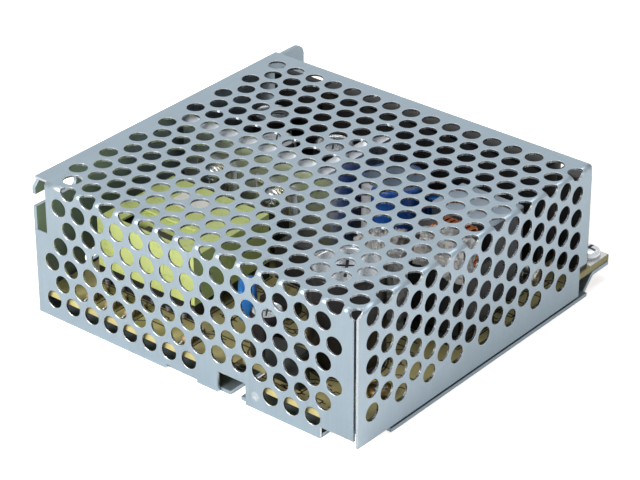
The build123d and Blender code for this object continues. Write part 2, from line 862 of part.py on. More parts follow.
# Insulating pads on the heat sink, the two power devices on them and their screws
pad_thickness = 0.3
pad_width = 13.0
pad_height = 17.6
pad_lift = 2.0
tab_thickness = 1.3
tab_width = 10.0
tab_height = 15.6
tab_lift = 3.2
body_thickness = 4.5
body_height = 9.2
leg_width = 0.8
leg_thickness = 0.5
leg_pitch = 2.54
leg_share = 0.45
device_screw_radius = 2.6
device_screw_height = 1.6
device_screw_drop = 3.2
transistor_share = 0.34
rectifier_share = 0.144
transistor_x = left + transistor_share * case_width
rectifier_x = left + rectifier_share * case_width
tab_front = sink_front - pad_thickness - tab_thickness
body_front = sink_front - pad_thickness - body_thickness
tab_bottom = board_top + tab_lift


def power_device(name, x):
    """A power device upright on three legs, with its metal tab against the pad."""
    with BuildPart() as device:
        with BuildSketch(Plane.XZ.offset(-tab_front)):
            with Locations((x, tab_bottom)):
                Rectangle(tab_width, tab_height, align=(Align.CENTER, Align.MIN))
        extrude(amount=-tab_thickness)
        with BuildSketch(Plane.XZ.offset(-body_front)):
            with Locations((x, tab_bottom)):
                Rectangle(tab_width, body_height, align=(Align.CENTER, Align.MIN))
        extrude(amount=-body_thickness + tab_thickness)
        with BuildSketch(seat):
            with Locations((x, body_front + leg_share * body_thickness)):
                with GridLocations(leg_pitch, 0, 3, 1):
                    Rectangle(leg_width, leg_thickness)
        extrude(amount=tab_lift)
    device.part.label = name
    export_step(device.part, f"parts/{name}.step")


power_device("power_transistor", transistor_x)
power_device("output_rectifier", rectifier_x)

with BuildPart() as insulating_pads:
    with BuildSketch(Plane.XZ.offset(-sink_front)):
        with Locations((transistor_x, board_top + pad_lift), (rectifier_x, board_top + pad_lift)):
            Rectangle(pad_width, pad_height, align=(Align.CENTER, Align.MIN))
    extrude(amount=pad_thickness)
insulating_pads.part.label = "insulating_pads"
export_step(insulating_pads.part, "parts/insulating_pads.step")

with BuildPart() as device_screws:
    with BuildSketch(Plane.XZ.offset(-tab_front)):
        screw_z = tab_bottom + tab_height - device_screw_drop
        with Locations((transistor_x, screw_z), (rectifier_x, screw_z)):
            RegularPolygon(device_screw_radius, small_sides)
    extrude(amount=device_screw_height)
device_screws.part.label = "device_screws"
export_step(device_screws.part, "parts/device_screws.step")

# Mains choke: a closed core upright on a base, with a coil on each of its two legs
choke_width = 18.0
choke_depth = 14.0
choke_base_height = 2.0
choke_headroom = 4.0
choke_core_height = case_height - cover_sheet - choke_headroom - board_top - choke_base_height
choke_core_depth = 7.0
choke_leg = 5.0
choke_bar = 4.6
choke_wind = 2.6
choke_gap = 0.2
choke_shares = (0.866, 0.489)
choke_x, choke_y = spot(choke_shares)
choke_core_bottom = board_top + choke_base_height
choke_coil_height = choke_core_height - 2 * choke_bar - 2 * choke_gap
choke_leg_x = (choke_width - 2 * choke_wind - choke_leg) / 2
with BuildPart() as choke_base:
    with BuildSketch(seat):
        with Locations((choke_x, choke_y)):
            Rectangle(choke_width, choke_depth)
    extrude(amount=choke_base_height)
choke_base.part.label = "choke_base"
export_step(choke_base.part, "parts/choke_base.step")

with BuildPart() as choke_core:
    with BuildSketch(Plane.XZ.offset(-choke_y)):
        with Locations((choke_x, choke_core_bottom)):
            core_outer = 2 * choke_leg_x + choke_leg
            Rectangle(core_outer, choke_core_height, align=(Align.CENTER, Align.MIN))
        with Locations((choke_x, choke_core_bottom + choke_core_height / 2)):
            Rectangle(
                core_outer - 2 * choke_leg,
                choke_core_height - 2 * choke_bar,
                mode=Mode.SUBTRACT,
            )
    extrude(amount=choke_core_depth / 2, both=True)
choke_core.part.label = "choke_core"
export_step(choke_core.part, "parts/choke_core.step")

with BuildPart() as choke_coils:
    with BuildSketch(Plane.XY.offset(choke_core_bottom + choke_bar + choke_gap)):
        with Locations((choke_x - choke_leg_x, choke_y), (choke_x + choke_leg_x, choke_y)):
            coil_width = choke_leg + 2 * choke_wind
            RectangleRounded(coil_width, choke_core_depth + 2 * choke_wind, choke_wind)
            Rectangle(choke_leg, choke_core_depth, mode=Mode.SUBTRACT)
    extrude(amount=choke_coil_height)
choke_coils.part.label = "choke_coils"
export_step(choke_coils.part, "parts/choke_coils.step")

# Output choke: a ring core that lies on the board inside its winding
ring_outer = 6.0
ring_inner = 3.4
ring_height = 5.0
ring_wind = 1.2
ring_gap = 0.2
ring_turn_start = 35.0
ring_turn = 290.0
ring_shares = (0.379, 0.594)
ring_place = spot(ring_shares)
ring_bottom = board_top + ring_wind + ring_gap
with BuildPart() as output_choke_core:
    with BuildSketch(Plane.XY.offset(ring_bottom)):
        with Locations(ring_place):
            Circle(ring_outer)
            Circle(ring_inner, mode=Mode.SUBTRACT)
    extrude(amount=ring_height)
output_choke_core.part.label = "output_choke_core"
export_step(output_choke_core.part, "parts/output_choke_core.step")

with BuildPart() as output_choke_winding:
    ring_x, ring_y = ring_place
    turn = math.radians(ring_turn_start)
    ring_plane = Plane(
        (ring_x, ring_y, 0),
        x_dir=(math.cos(turn), math.sin(turn), 0),
        z_dir=(math.sin(turn), -math.cos(turn), 0),
    )
    with BuildSketch(ring_plane):
        with Locations(((ring_outer + ring_inner) / 2, ring_bottom + ring_height / 2)):
            ring_section = ring_outer - ring_inner + 2 * ring_gap
            shell_height = ring_height + 2 * ring_gap
            Rectangle(ring_section + 2 * ring_wind, shell_height + 2 * ring_wind)
            Rectangle(ring_section, shell_height, mode=Mode.SUBTRACT)
    revolve(axis=Axis((ring_x, ring_y, 0), (0, 0, 1)), revolution_arc=ring_turn)
output_choke_winding.part.label = "output_choke_winding"
export_step(output_choke_winding.part, "parts/output_choke_winding.step")

# Silicone glue that holds the tall parts: soft lumps beside the mains choke
glue_width = 13.0
glue_depth = 4.5
glue_height = 9.0
glue_slope = 1.6
glue_gap = 0.1
glue_place = (choke_x, choke_y - choke_depth / 2 - glue_gap - glue_depth / 2)
with BuildPart() as silicone_glue:
    with BuildSketch(seat):
        with Locations(glue_place):
            Rectangle(glue_width, glue_depth)
    extrude(amount=glue_height)
    chamfer(silicone_glue.edges().filter_by(Axis.Z), glue_slope)
    chamfer(silicone_glue.faces().sort_by(Axis.Z)[-1].edges(), glue_slope / 2)
silicone_glue.part.label = "silicone_glue"
export_step(silicone_glue.part, "parts/silicone_glue.step")
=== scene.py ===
"""Mesh-case switching power supply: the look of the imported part.

Laid out as an add-on whose operators each dress or build one group of pieces round the
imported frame. Shapes are worked out in millimetres, and MM turns them into Blender's metres.
"""

import json
import math
import random
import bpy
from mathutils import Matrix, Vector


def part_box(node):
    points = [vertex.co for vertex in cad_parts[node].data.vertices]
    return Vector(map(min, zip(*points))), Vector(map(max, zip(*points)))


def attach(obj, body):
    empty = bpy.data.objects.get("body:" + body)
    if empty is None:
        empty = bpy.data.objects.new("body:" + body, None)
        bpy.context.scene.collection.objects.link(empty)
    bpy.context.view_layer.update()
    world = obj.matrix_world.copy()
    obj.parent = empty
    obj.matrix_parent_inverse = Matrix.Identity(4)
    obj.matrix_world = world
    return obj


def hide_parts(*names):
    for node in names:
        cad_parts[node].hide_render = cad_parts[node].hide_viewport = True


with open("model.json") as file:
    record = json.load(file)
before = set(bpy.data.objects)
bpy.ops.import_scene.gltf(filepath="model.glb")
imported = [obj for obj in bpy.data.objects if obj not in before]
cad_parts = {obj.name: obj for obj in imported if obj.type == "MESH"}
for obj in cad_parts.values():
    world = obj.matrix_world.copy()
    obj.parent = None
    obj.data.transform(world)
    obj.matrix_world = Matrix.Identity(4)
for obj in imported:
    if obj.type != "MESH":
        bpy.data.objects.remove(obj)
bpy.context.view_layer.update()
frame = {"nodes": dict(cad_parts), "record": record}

from types import SimpleNamespace

import bmesh
import bpy
from mathutils import Matrix, Vector, noise
from mathutils.geometry import delaunay_2d_cdt

bl_info = {
    "name": "Mesh case power supply",
    "version": (1, 0, 0),
    "blender": (4, 5, 0),
    "location": "3D View > Sidebar > Supply",
    "description": "Builds and dresses a mesh-case switching power supply",
    "category": "Object",
}

MM = 0.001
SLOTS = {entry["node"]: entry["material_slot"] for entry in frame["record"]["subparts"]}


# Colours and materials


def linear(hex_colour):
    """An sRGB hex colour as linear red, green and blue."""
    levels = [int(hex_colour[i : i + 2], 16) / 255 for i in (0, 2, 4)]
    return tuple(v / 12.92 if v <= 0.04045 else ((v + 0.055) / 1.055) ** 2.4 for v in levels)


def add(tree, kind, inputs=None, **settings):
    """Adds a node with its settings, and its inputs as values or links."""
    made = tree.nodes.new(kind)
    for key, value in settings.items():
        setattr(made, key, value)
    for key, value in (inputs or {}).items():
        if isinstance(value, bpy.types.NodeSocket):
            tree.links.new(value, made.inputs[key])
        else:
            made.inputs[key].default_value = value
    return made


def maths(tree, operation, *values):
    """The result of a sum on one or two values."""
    return add(tree, "ShaderNodeMath", dict(enumerate(values)), operation=operation).outputs[0]


def mapped(tree, value, low, high, to_low, to_high):
    """A value with one range stretched over another."""
    levels = {0: value, 1: low, 2: high, 3: to_low, 4: to_high}
    return add(tree, "ShaderNodeMapRange", levels).outputs[0]


def texture(tree, where, scale, detail, rough):
    """A noise texture with so many grains to the metre."""
    inputs = {"Vector": where, "Scale": scale, "Detail": detail, "Roughness": rough}
    return add(tree, "ShaderNodeTexNoise", inputs).outputs["Fac"]


def varied(tree, share, colour, lift):
    """A colour between a darker and a lighter tone of it."""
    dark = tuple(c * (1 - lift) for c in colour) + (1,)
    light = tuple(min(1, c * (1 + lift)) for c in colour) + (1,)
    return add(tree, "ShaderNodeMix", {0: share, 6: dark, 7: light}, data_type="RGBA").outputs[2]


def new_material(name):
    """An empty node material and its tree."""
    made = bpy.data.materials.new(name)
    made.use_nodes = True
    made.node_tree.nodes.clear()
    return made, made.node_tree


def finish_with(tree, shader):
    """Sends the shader to the material's output."""
    add(tree, "ShaderNodeOutputMaterial", {"Surface": shader.outputs[0]})


def covered(tree, base, rough, grain, strength, relief_mm, fixed):
    """Sends a surface with a fine relief to the material's output."""
    relief = {"Strength": strength, "Distance": relief_mm * MM, "Height": grain}
    bump = add(tree, "ShaderNodeBump", relief).outputs[0]
    inputs = {"Base Color": base, "Roughness": rough, "Normal": bump, **fixed}
    finish_with(tree, add(tree, "ShaderNodeBsdfPrincipled", inputs))


def rolled_steel(name, colour, rough, lift):
    """Zinc-plated sheet: cold rolled, so fine lines run one way and the zinc is cloudy."""
    made, tree = new_material(name)
    where = add(tree, "ShaderNodeTexCoord").outputs["Object"]
    facing = add(tree, "ShaderNodeNewGeometry").outputs["Normal"]
    side = maths(tree, "ABSOLUTE", add(tree, "ShaderNodeSeparateXYZ", {0: facing}).outputs[0])
    # Rolling lines 0.25 mm apart and 12 mm long; real ones are finer and would not show
    lines = []
    for scale in ((4000, 80, 80), (80, 4000, 80)):
        place = add(tree, "ShaderNodeVectorMath", {0: where, 1: scale}, operation="MULTIPLY")
        lines.append(texture(tree, place.outputs[0], 1, 3, 0.6))
    grain = add(tree, "ShaderNodeMix", {0: side, 2: lines[0], 3: lines[1]}).outputs[0]
    # Zinc clouds about 9 mm across
    base = varied(tree, texture(tree, where, 110, 4, 0.65), colour, lift)
    streak = {0: base, "Scale": mapped(tree, grain, 0.3, 0.7, 0.93, 1.05)}
    lined = add(tree, "ShaderNodeVectorMath", streak, operation="SCALE").outputs[0]
    dull = mapped(tree, grain, 0.3, 0.7, rough - 0.07, rough + 0.09)
    # Short of full metal, because the plating scatters part of the light
    covered(tree, lined, dull, grain, 0.25, 0.02, {"Metallic": 0.72})
    return made


def surfaced(name, colour, lift, grain_mm, relief_mm, rough, swing, fixed):
    """A finish with cloudy colour and a fine relief of one grain size."""
    made, tree = new_material(name)
    where = add(tree, "ShaderNodeTexCoord").outputs["Object"]
    grain = texture(tree, where, 1 / (grain_mm * MM), 3, 0.55)
    both = maths(tree, "ADD", grain, texture(tree, where, 180, 2, 0.5))
    base = varied(tree, mapped(tree, both, 0.7, 1.3, 0, 1), colour, lift)
    dull = mapped(tree, grain, 0.3, 0.7, max(0.02, rough - swing), min(1, rough + swing))
    covered(tree, base, dull, grain, 0.6, relief_mm, fixed)
    return made


# Each finish: its colour or a user's, how much that varies, grain and relief in mm,
# roughness and its swing, and fixed sockets
METAL = {"Metallic": 1.0}
SOFT = {"Specular IOR Level": 0.4}
CLEAR = {"IOR": 1.5, "Transmission Weight": 0.9}
TINTED = {"IOR": 1.5, "Transmission Weight": 0.5}
SET_GEL = {"IOR": 1.5, "Transmission Weight": 0.35, "Coat Weight": 0.6}
FINISHES = {
    # Burnished by the punch, so brighter than the face; in the middle of the press mark the same
    # finish is a painted highlight
    "Zinc-plated steel, sheared edge": ("rim", 0.06, 0.4, 0.004, 0.3, 0.08, {"Metallic": 0.85}),
    # The wall of a hole, drawn smooth: it mirrors the dark inside
    "Steel, punched wall": ("9AA1A6", 0.12, 0.3, 0.012, 0.26, 0.08, {"Metallic": 0.95}),
    # Ink printed on the board: matt and thin
    "Board print, black": ("2B261C", 0.1, 0.6, 0.004, 0.6, 0.05, {}),
    # Polyester film, calendered: even and matt. Black, with an olive tint that is a painted
    # reflection of the board above it
    "Polyester film, black": ("34352C", 0.1, 0.6, 0.01, 0.6, 0.05, {}),
    # Paper-phenolic laminate, sawn: tan with a fibre cloud
    "Laminate board, tan": ("board", 0.12, 1.4, 0.01, 0.5, 0.08, {}),
    # Zinc-plated steel, cold headed: bright
    "Zinc-plated screw": ("C6CBD0", 0.06, 0.5, 0.004, 0.28, 0.06, METAL),
    # Zinc under a yellow chromate film: dull gold
    "Zinc, yellow passivated": ("6A5A38", 0.16, 0.8, 0.006, 0.4, 0.08, METAL),
    # Soldered wire ends: dull and grey
    "Solder, dull": ("7D7F80", 0.1, 0.4, 0.01, 0.5, 0.08, {"Metallic": 0.8}),
    # Glass-filled nylon, moulded: black with a fine spark-eroded grain
    "Glass-filled nylon, black": ("1B1C1E", 0.15, 0.35, 0.015, 0.5, 0.08, SOFT),
    # Nickel-plated brass, stamped: warm and smooth
    "Nickel-plated brass": ("CFCBBE", 0.05, 0.8, 0.004, 0.25, 0.06, METAL),
    # Polyamide, moulded: glossy
    "Polyamide, blue": ("2757A8", 0.06, 0.5, 0.004, 0.3, 0.05, {}),
    "Polyamide, white": ("E4E3DA", 0.04, 0.5, 0.004, 0.35, 0.05, {}),
    # Manganese-zinc ferrite, sintered and ground: charcoal and grainy
    "Ferrite, ground": ("2C2D30", 0.2, 0.25, 0.01, 0.45, 0.08, {}),
    # Epoxy-coated powder core: an even satin
    "Epoxy coating, yellow": ("D2B838", 0.08, 0.5, 0.01, 0.35, 0.06, {}),
    # Enamelled copper wire: glossy varnish over metal
    "Enamelled copper wire": ("A65C36", 0.12, 1.2, 0.004, 0.24, 0.05, METAL),
    # Polyester tape: glossy film over an even yellow adhesive
    "Polyester tape, yellow": ("tape", 0.06, 3.0, 0.02, 0.32, 0.08, {}),
    # Coated paper: white and nearly matt
    "Paper label, white": ("EFF0EC", 0.02, 0.3, 0.004, 0.55, 0.04, {}),
    # Aluminium, deep drawn: a soft shine
    "Aluminium can, drawn": ("D3D8DC", 0.05, 0.4, 0.004, 0.3, 0.06, METAL),
    # Heat-shrunk PVC: stretched smooth
    "PVC sleeve, dark": ("1B1819", 0.12, 2.5, 0.01, 0.32, 0.06, {"Specular IOR Level": 0.3}),
    "PVC sleeve, blue": ("184E9E", 0.08, 2.5, 0.01, 0.28, 0.06, {}),
    "PVC sleeve, pale stripe": ("B9BEC6", 0.04, 2.5, 0.01, 0.3, 0.06, {}),
    # Plastic disc over the top of a can: flat blue grey
    "Insulating disc, slate": ("54687C", 0.08, 0.8, 0.006, 0.35, 0.06, {}),
    # Epoxy, dipped: thick, glossy and a little uneven
    "Epoxy dip, blue": ("1C74C6", 0.08, 1.6, 0.03, 0.22, 0.05, {}),
    "Epoxy dip, dark": ("171C1A", 0.1, 1.6, 0.03, 0.34, 0.05, {"Specular IOR Level": 0.35}),
    # Filled polyester box in a lit and a shaded copy: painted light on top, painted shade down its
    # sides
    "Polyester box, dark": ("3B4249", 0.08, 0.6, 0.008, 0.42, 0.06, SOFT),
    "Polyester box, pale": ("A3B4C4", 0.05, 0.6, 0.008, 0.42, 0.06, {}),
    # Epoxy moulding compound: black and fine-grained
    "Epoxy moulding, black": ("1D1D1F", 0.12, 0.2, 0.008, 0.48, 0.06, SOFT),
    # Lacquer over ceramic: satin beige
    "Lacquer, beige": ("857354", 0.08, 0.8, 0.006, 0.45, 0.05, {}),
    # Ink bands baked on: a shade glossier than the body
    "Band ink, brown": ("5A3420", 0.06, 0.8, 0.004, 0.35, 0.05, {}),
    "Band ink, black": ("1A1A1A", 0.06, 0.8, 0.004, 0.35, 0.05, {}),
    "Band ink, gold": ("B48A3C", 0.06, 0.8, 0.004, 0.3, 0.05, {}),
    "Band ink, silver": ("B9BCBF", 0.06, 0.8, 0.004, 0.3, 0.05, {}),
    # Extruded aluminium as it leaves the mill: bright, with soft reflections
    "Aluminium, mill finish": ("D6DBE0", 0.05, 0.5, 0.006, 0.34, 0.08, METAL),
    # Filled silicone sheet: rubbery and matt
    "Silicone pad, grey": ("8E959B", 0.06, 0.8, 0.01, 0.6, 0.05, {}),
    # Silicone sealant, set in the air: wrinkled, wet and half clear
    "Silicone sealant, clouded": ("CFD1D1", 0.5, 1.6, 1.6, 0.06, 0.04, SET_GEL),
    # Tin over copper, dipped: bright
    "Tinned copper": ("C9CBCC", 0.05, 0.5, 0.004, 0.28, 0.06, METAL),
    # Soda glass: clear and smooth
    "Glass tube": ("F2F6F6", 0.01, 2.0, 0.001, 0.05, 0.02, CLEAR),
    # Epoxy lens, cast: tinted all through
    "Epoxy lens, green": ("77C96B", 0.03, 1.0, 0.002, 0.12, 0.03, TINTED),
}


def material(name):
    """The named finish, made when it is first asked for."""
    found = bpy.data.materials.get(name)
    if found:
        return found
    colours = bpy.context.scene.supply_colours
    if name == "Zinc-plated steel, rolled":
        return rolled_steel(name, tuple(colours.sheet), rough=0.36, lift=0.08)
    tone, *look = FINISHES[name]
    chosen = tone in SupplyColours.__annotations__
    return surfaced(name, tuple(getattr(colours, tone)) if chosen else linear(tone), *look)


# Making meshes


class Build:
    """Points in mm, faces and finish marks of one piece, gathered from several shapes."""

    def __init__(self):
        self.verts, self.faces, self.marks, self.smooth = [], [], [], []

    def take(self, verts, faces, mark=0, smooth=False):
        """Adds a shape. mark and smooth are one value, or a list with one for each face."""
        start = len(self.verts)
        self.verts += [tuple(v) for v in verts]
        self.faces += [tuple(i + start for i in face) for face in faces]
        self.marks += mark if isinstance(mark, list) else [mark] * len(faces)
        self.smooth += smooth if isinstance(smooth, list) else [smooth] * len(faces)

    def take_shape(self, shape, mark=0, smooth=False):
        """Adds a bmesh, and frees it."""
        shape.verts.index_update()
        faces = [tuple(v.index for v in face.verts) for face in shape.faces]
        self.take([v.co for v in shape.verts], faces, mark, smooth)
        shape.free()

    def make(self, name, finishes, body="case", replaces=(), slot=None):
        """The piece as a Blender object that rides on a body of the part."""
        mesh = bpy.data.meshes.new(name)
        mesh.from_pydata([tuple(c * MM for c in v) for v in self.verts], [], self.faces)
        for finish in finishes:
            mesh.materials.append(material(finish))
        mesh.polygons.foreach_set("material_index", self.marks)
        mesh.polygons.foreach_set("use_smooth", self.smooth)
        mesh.update()
        made = bpy.data.objects.new(name, mesh)
        bpy.context.scene.collection.objects.link(made)
        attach(made, body)
        if replaces:
            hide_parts(*replaces)
        slot = slot or (SLOTS[replaces[0]] if replaces else None)
        return made


def circle(sides, radius=1.0, x=0.0, y=0.0, first=0):
    """Points round a circle, the first of them a share of a step on."""
    turns = [2 * math.pi * (k + first) / sides for k in range(sides)]
    return [(x + radius * math.cos(t), y + radius * math.sin(t)) for t in turns]


def between_rings(count, sides, closed):
    """Faces that join rings of points, and close both ends unless the last meets the first."""
    faces = []
    for i in range(count if closed else count - 1):
        here, there = i * sides, (i + 1) % count * sides
        for k in range(sides):
            n = (k + 1) % sides
            faces.append((here + k, here + n, there + n, there + k))
    if not closed:
        last = (count - 1) * sides
        faces += [tuple(range(sides - 1, -1, -1)), tuple(range(last, last + sides))]
    return faces


# Rings wider than this between their two radii are flat steps, in mm
FLAT_STEP = 1.2


def turned(build, profile, centre, marks=None, sides=32, axis="Z", stripe=(0, 0), closed=False):
    """Adds a lathed shape: profile is radius and height pairs, from one end to the other."""
    verts, tags, soft = [], [], []
    for radius, height in profile:
        for a, b in circle(sides, radius):
            spot = {"Z": (a, b, height), "X": (height, a, b), "Y": (b, height, a)}[axis]
            verts.append([start + c for start, c in zip(centre, spot)])
    rings = len(profile) if closed else len(profile) - 1
    marks = marks or [0] * rings
    for i in range(rings):
        step = abs(profile[i][0] - profile[(i + 1) % len(profile)][0])
        for k in range(sides):
            striped = marks[i] == 0 and stripe[0] <= k < stripe[1]
            tags.append(2 if striped else marks[i])
            soft.append(step < FLAT_STEP)
    if not closed:
        tags += [marks[0], marks[-1]]
        soft += [False, False]
    build.take(verts, between_rings(len(profile), sides, closed), tags, soft)


def moved(build, start, matrix):
    """Moves what a build has gathered from a point's number on."""
    build.verts[start:] = [tuple(matrix @ Vector(v)) for v in build.verts[start:]]


def block(build, low, high, soften=0.2, mark=0, steps=2):
    """Adds a box with rounded edges."""
    shape = bmesh.new()
    bmesh.ops.create_cube(shape, size=1)
    for v in shape.verts:
        v.co = Vector([(a + b) / 2 + c * (b - a) for a, b, c in zip(low, high, v.co)])
    reach = min(soften, 0.45 * min(b - a for a, b in zip(low, high)))
    edges = list(shape.edges)
    bmesh.ops.bevel(shape, geom=edges, offset=reach, segments=steps, profile=0.5, affect="EDGES")
    areas = [f.calc_area() for f in shape.faces]
    small = max(areas) * 0.3
    build.take_shape(shape, mark, [area < small for area in areas])


def post(build, x, y, reach_x, reach_y, low_z, high_z, *more):
    """Adds a block about a place in plan."""
    block(build, (x - reach_x, y - reach_y, low_z), (x + reach_x, y + reach_y, high_z), *more)


def tube(build, path, radius, sides=8, mark=0, closed=False):
    """Adds a round wire along a path of points."""
    points = [Vector(p) for p in path]
    count = len(points)
    verts, normal, section = [], None, circle(sides)
    for i, point in enumerate(points):
        before = points[i - 1] if i or closed else point
        after = points[(i + 1) % count] if i < count - 1 or closed else point
        along = (after - before).normalized()
        if normal is None:
            other = Vector((0, 0, 1)) if abs(along.z) < 0.9 else Vector((1, 0, 0))
            normal = along.cross(other).normalized()
        normal = (normal - along * normal.dot(along)).normalized()
        across = along.cross(normal)
        verts += [point + radius * (c * normal + s * across) for c, s in section]
    faces = between_rings(count, sides, closed)
    build.take(verts, faces, mark, [len(face) == 4 for face in faces])


def carve(made, tool_build):
    """Cuts the tool's shape out of a piece and keeps the result as its mesh."""
    tool = tool_build.make(made.name + "_tool", [made.data.materials[0].name])
    cut = made.modifiers.new("cut", "BOOLEAN")
    cut.operation = "DIFFERENCE"
    cut.solver = "EXACT"
    cut.object = tool
    bpy.context.view_layer.update()
    ready = made.evaluated_get(bpy.context.evaluated_depsgraph_get())
    whole, made.data = made.data, bpy.data.meshes.new_from_object(ready)
    made.modifiers.clear()
    bpy.data.meshes.remove(whole)
    bpy.data.objects.remove(tool)


def dress(node, finish, soften_mm=0.0):
    """Gives a CAD node its finish, and rounds its edges a little."""
    made = frame["nodes"][node]
    made.data.materials.clear()
    made.data.materials.append(material(finish))
    if soften_mm:
        edge = made.modifiers.new("edge", "BEVEL")
        edge.width = soften_mm * MM
        edge.segments = 2
        edge.limit_method = "ANGLE"
        edge.angle_limit = math.radians(50)


def corners(node):
    """A CAD node's lowest and highest corner, in mm."""
    low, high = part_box(node)
    return [c / MM for c in low], [c / MM for c in high]


def islands(node):
    """The lowest and highest corner of each separate solid of a CAD node, in mm."""
    shape = bmesh.new()
    shape.from_mesh(frame["nodes"][node].data)
    bmesh.ops.remove_doubles(shape, verts=shape.verts, dist=1e-6)
    left, found = set(shape.verts), []
    while left:
        front = [left.pop()]
        group = []
        while front:
            here = front.pop()
            group.append(here.co / MM)
            for edge in here.link_edges:
                other = edge.other_vert(here)
                if other in left:
                    left.remove(other)
                    front.append(other)
        found.append(tuple([pick(c) for c in zip(*group)] for pick in (min, max)))
    shape.free()
    return sorted(found)


def middle(low, high):
    """The middle of a box in plan."""
    return (low[0] + high[0]) / 2, (low[1] + high[1]) / 2


# Sizes and colours a user may change


def length(name, description, size_mm):
    """A length property with its default in millimetres."""
    return bpy.props.FloatProperty(
        name=name, description=description, default=size_mm * MM, min=0, unit="LENGTH", precision=5
    )


def colour(name, description, hex_colour):
    """A colour property with an sRGB hex default."""
    return bpy.props.FloatVectorProperty(
        name=name, description=description, default=linear(hex_colour), size=3, min=0, max=1,
        subtype="COLOR",
    )


class SupplySheet(bpy.types.PropertyGroup):
    """Sizes of the perforated sheet."""

    thickness: length("Sheet", "Thickness of the cover's sheet", 0.6)
    bend: length("Bend", "Outer radius of the cover's two folds", 1.0)
    hole_radius: length("Hole radius", "Radius of a punched hole", 2.25)
    hole_pitch: length("Hole pitch", "Distance between holes of one row", 6.08)
    row_pitch: length("Row pitch", "Distance between rows of holes", 5.116)
    rim: length("Rim", "Width of the burnished edge round each hole", 0.08)
    hole_sides: bpy.props.IntProperty(
        name="Hole sides", description="Sides that draw one round hole", default=24, min=8, max=64
    )
    bend_steps: bpy.props.IntProperty(
        name="Bend steps", description="Flats that draw each fold", default=8, min=2, max=24
    )


class SupplyWire(bpy.types.PropertyGroup):
    """Sizes of the wound wire and the leads."""

    choke_wire: length("Choke wire", "Diameter of the mains choke's wire", 1.0)
    ring_wire: length("Ring wire", "Diameter of the output choke's wire", 1.1)
    lead: length("Lead", "Diameter of component leads", 0.7)


class SupplyColours(bpy.types.PropertyGroup):
    """Colours that set the look."""

    sheet: colour("Sheet", "Zinc-plated sheet", "92A3AF")
    # Also the colour of the painted highlight in the middle of the press mark
    rim: colour("Rim", "Burnished edge round each hole", "B8C1C8")
    tape: colour("Tape", "Tape round the transformer", "D0DF8E")
    board: colour("Board", "Bare face of the board", "A89F6C")
    floor: colour("Floor", "Floor under the supply", "F2F3F4")


# The cover. All numbers are mm

# Where the lattice starts: its columns from the right face, the columns of the side above
# the top, the rows of the front below it, and the holes on each fold past its beginning
COLUMNS, SIDE_COLUMNS, FRONT_ROWS = 0.63, 0.12, 0.29
ON_RIGHT_FOLD, ON_FRONT_FOLD = 0.41, 0.93
# The least metal beside a hole, and over the foot of the side
LAND, SIDE_LAND = 0.8, 4.5
# Cuts in the foot of the front: both ends from the left, and height. The last runs on
FOOT_CUTS = ((40.6, 50.2, 1.2), (56.5, 64.8, 5.6))
LAST_CUT, LAST_CUT_TOP = 86.4, 3.1
# The notch by the left wall, and the open corner between the front and the side
NOTCH, NOTCH_TOP = 4.1, 22.5
CORNER_GAP, RELIEF, RELIEF_FALL = 1.2, 1.25, 0.95
# The side: how it starts beside the fold, its foot, and the step at its back end
SIDE_START, SIDE_INSET, SIDE_FOOT = 0.7, 0.1, 1.6
SIDE_STEP, SIDE_STEP_TOP = 3.0, 9.5
# The press mark: its middle from the left and in height, its radius, depth and rings
PRESS_X, PRESS_Z, PRESS_RADIUS, PRESS_DEPTH = 67.6, 3.4, 1.75, 0.35
PRESS_RINGS = (0.02, 0.25, 0.5, 0.75, 1.0)
# Slack for points that lie on a line
ON_LINE = 1e-6


def cover_sizes(sheet):
    """Sizes of the cover and of its flat pattern, which runs on past both folds."""
    c = SimpleNamespace(sides=sheet.hole_sides, steps=sheet.bend_steps)
    for key in ("thickness", "bend", "hole_radius", "hole_pitch", "row_pitch", "rim"):
        setattr(c, key, getattr(sheet, key) / MM)
    (c.left, c.front, _), (c.right, c.back, c.top) = corners("cover")
    c.flat_front, c.flat_right, c.flat_top = c.front + c.bend, c.right - c.bend, c.top - c.bend
    c.arc = c.bend * math.pi / 2
    c.notch, c.front_end = c.left + NOTCH, c.right - CORNER_GAP
    # Places in the pattern of a height on the front and on the side
    c.on_front = lambda z: c.flat_front - c.arc - (c.flat_top - z)
    c.on_side = lambda z: c.flat_right + c.arc + (c.flat_top - z)
    c.press = c.left + PRESS_X, c.on_front(PRESS_Z)
    return c


def lattice(c):
    """Hole centres of the flat pattern."""
    radius, row, pitch = c.hole_radius, c.row_pitch, c.hole_pitch
    clear = radius + LAND
    holes = []

    def columns(index):
        steps = [k - (index % 2) / 2 for k in range(1, int((c.right - c.left) / pitch) + 1)]
        return [(step, c.right - COLUMNS - step * pitch) for step in steps]

    def foot(x):
        (shallow, shallow_end, low), (deep, deep_end, high) = FOOT_CUTS
        if shallow - LAND < x < shallow_end:
            return low
        if deep - clear < x < deep_end + clear:
            return high
        return LAST_CUT_TOP if x > LAST_CUT - LAND else 0

    for index in range(1, int((c.back - c.front - clear) / row) + 1):
        y = c.front + index * row
        for step, x in columns(index):
            if x - radius > c.left + LAND:
                holes.append((x, y))
            z = c.top + SIDE_COLUMNS - step * pitch
            if z - radius > SIDE_FOOT + SIDE_LAND:
                holes.append((c.on_side(z), y))
        if index % 2 == 0:
            holes.append((c.flat_right + ON_RIGHT_FOLD, y))
    for index in range(1, int((c.top - clear) / row) + 1):
        z = c.top - FRONT_ROWS - index * row
        for _, x in columns(index):
            inside = c.left + LAND < x - radius and x + clear < c.front_end
            beside_notch = x - radius > c.notch or z + clear < NOTCH_TOP
            if inside and beside_notch and z - radius > foot(x - c.left):
                holes.append((x, c.on_front(z)))
    for _, x in columns(0):
        if x - radius > c.notch and x + clear < c.front_end:
            holes.append((x, c.flat_front - ON_FRONT_FOLD))
    return holes


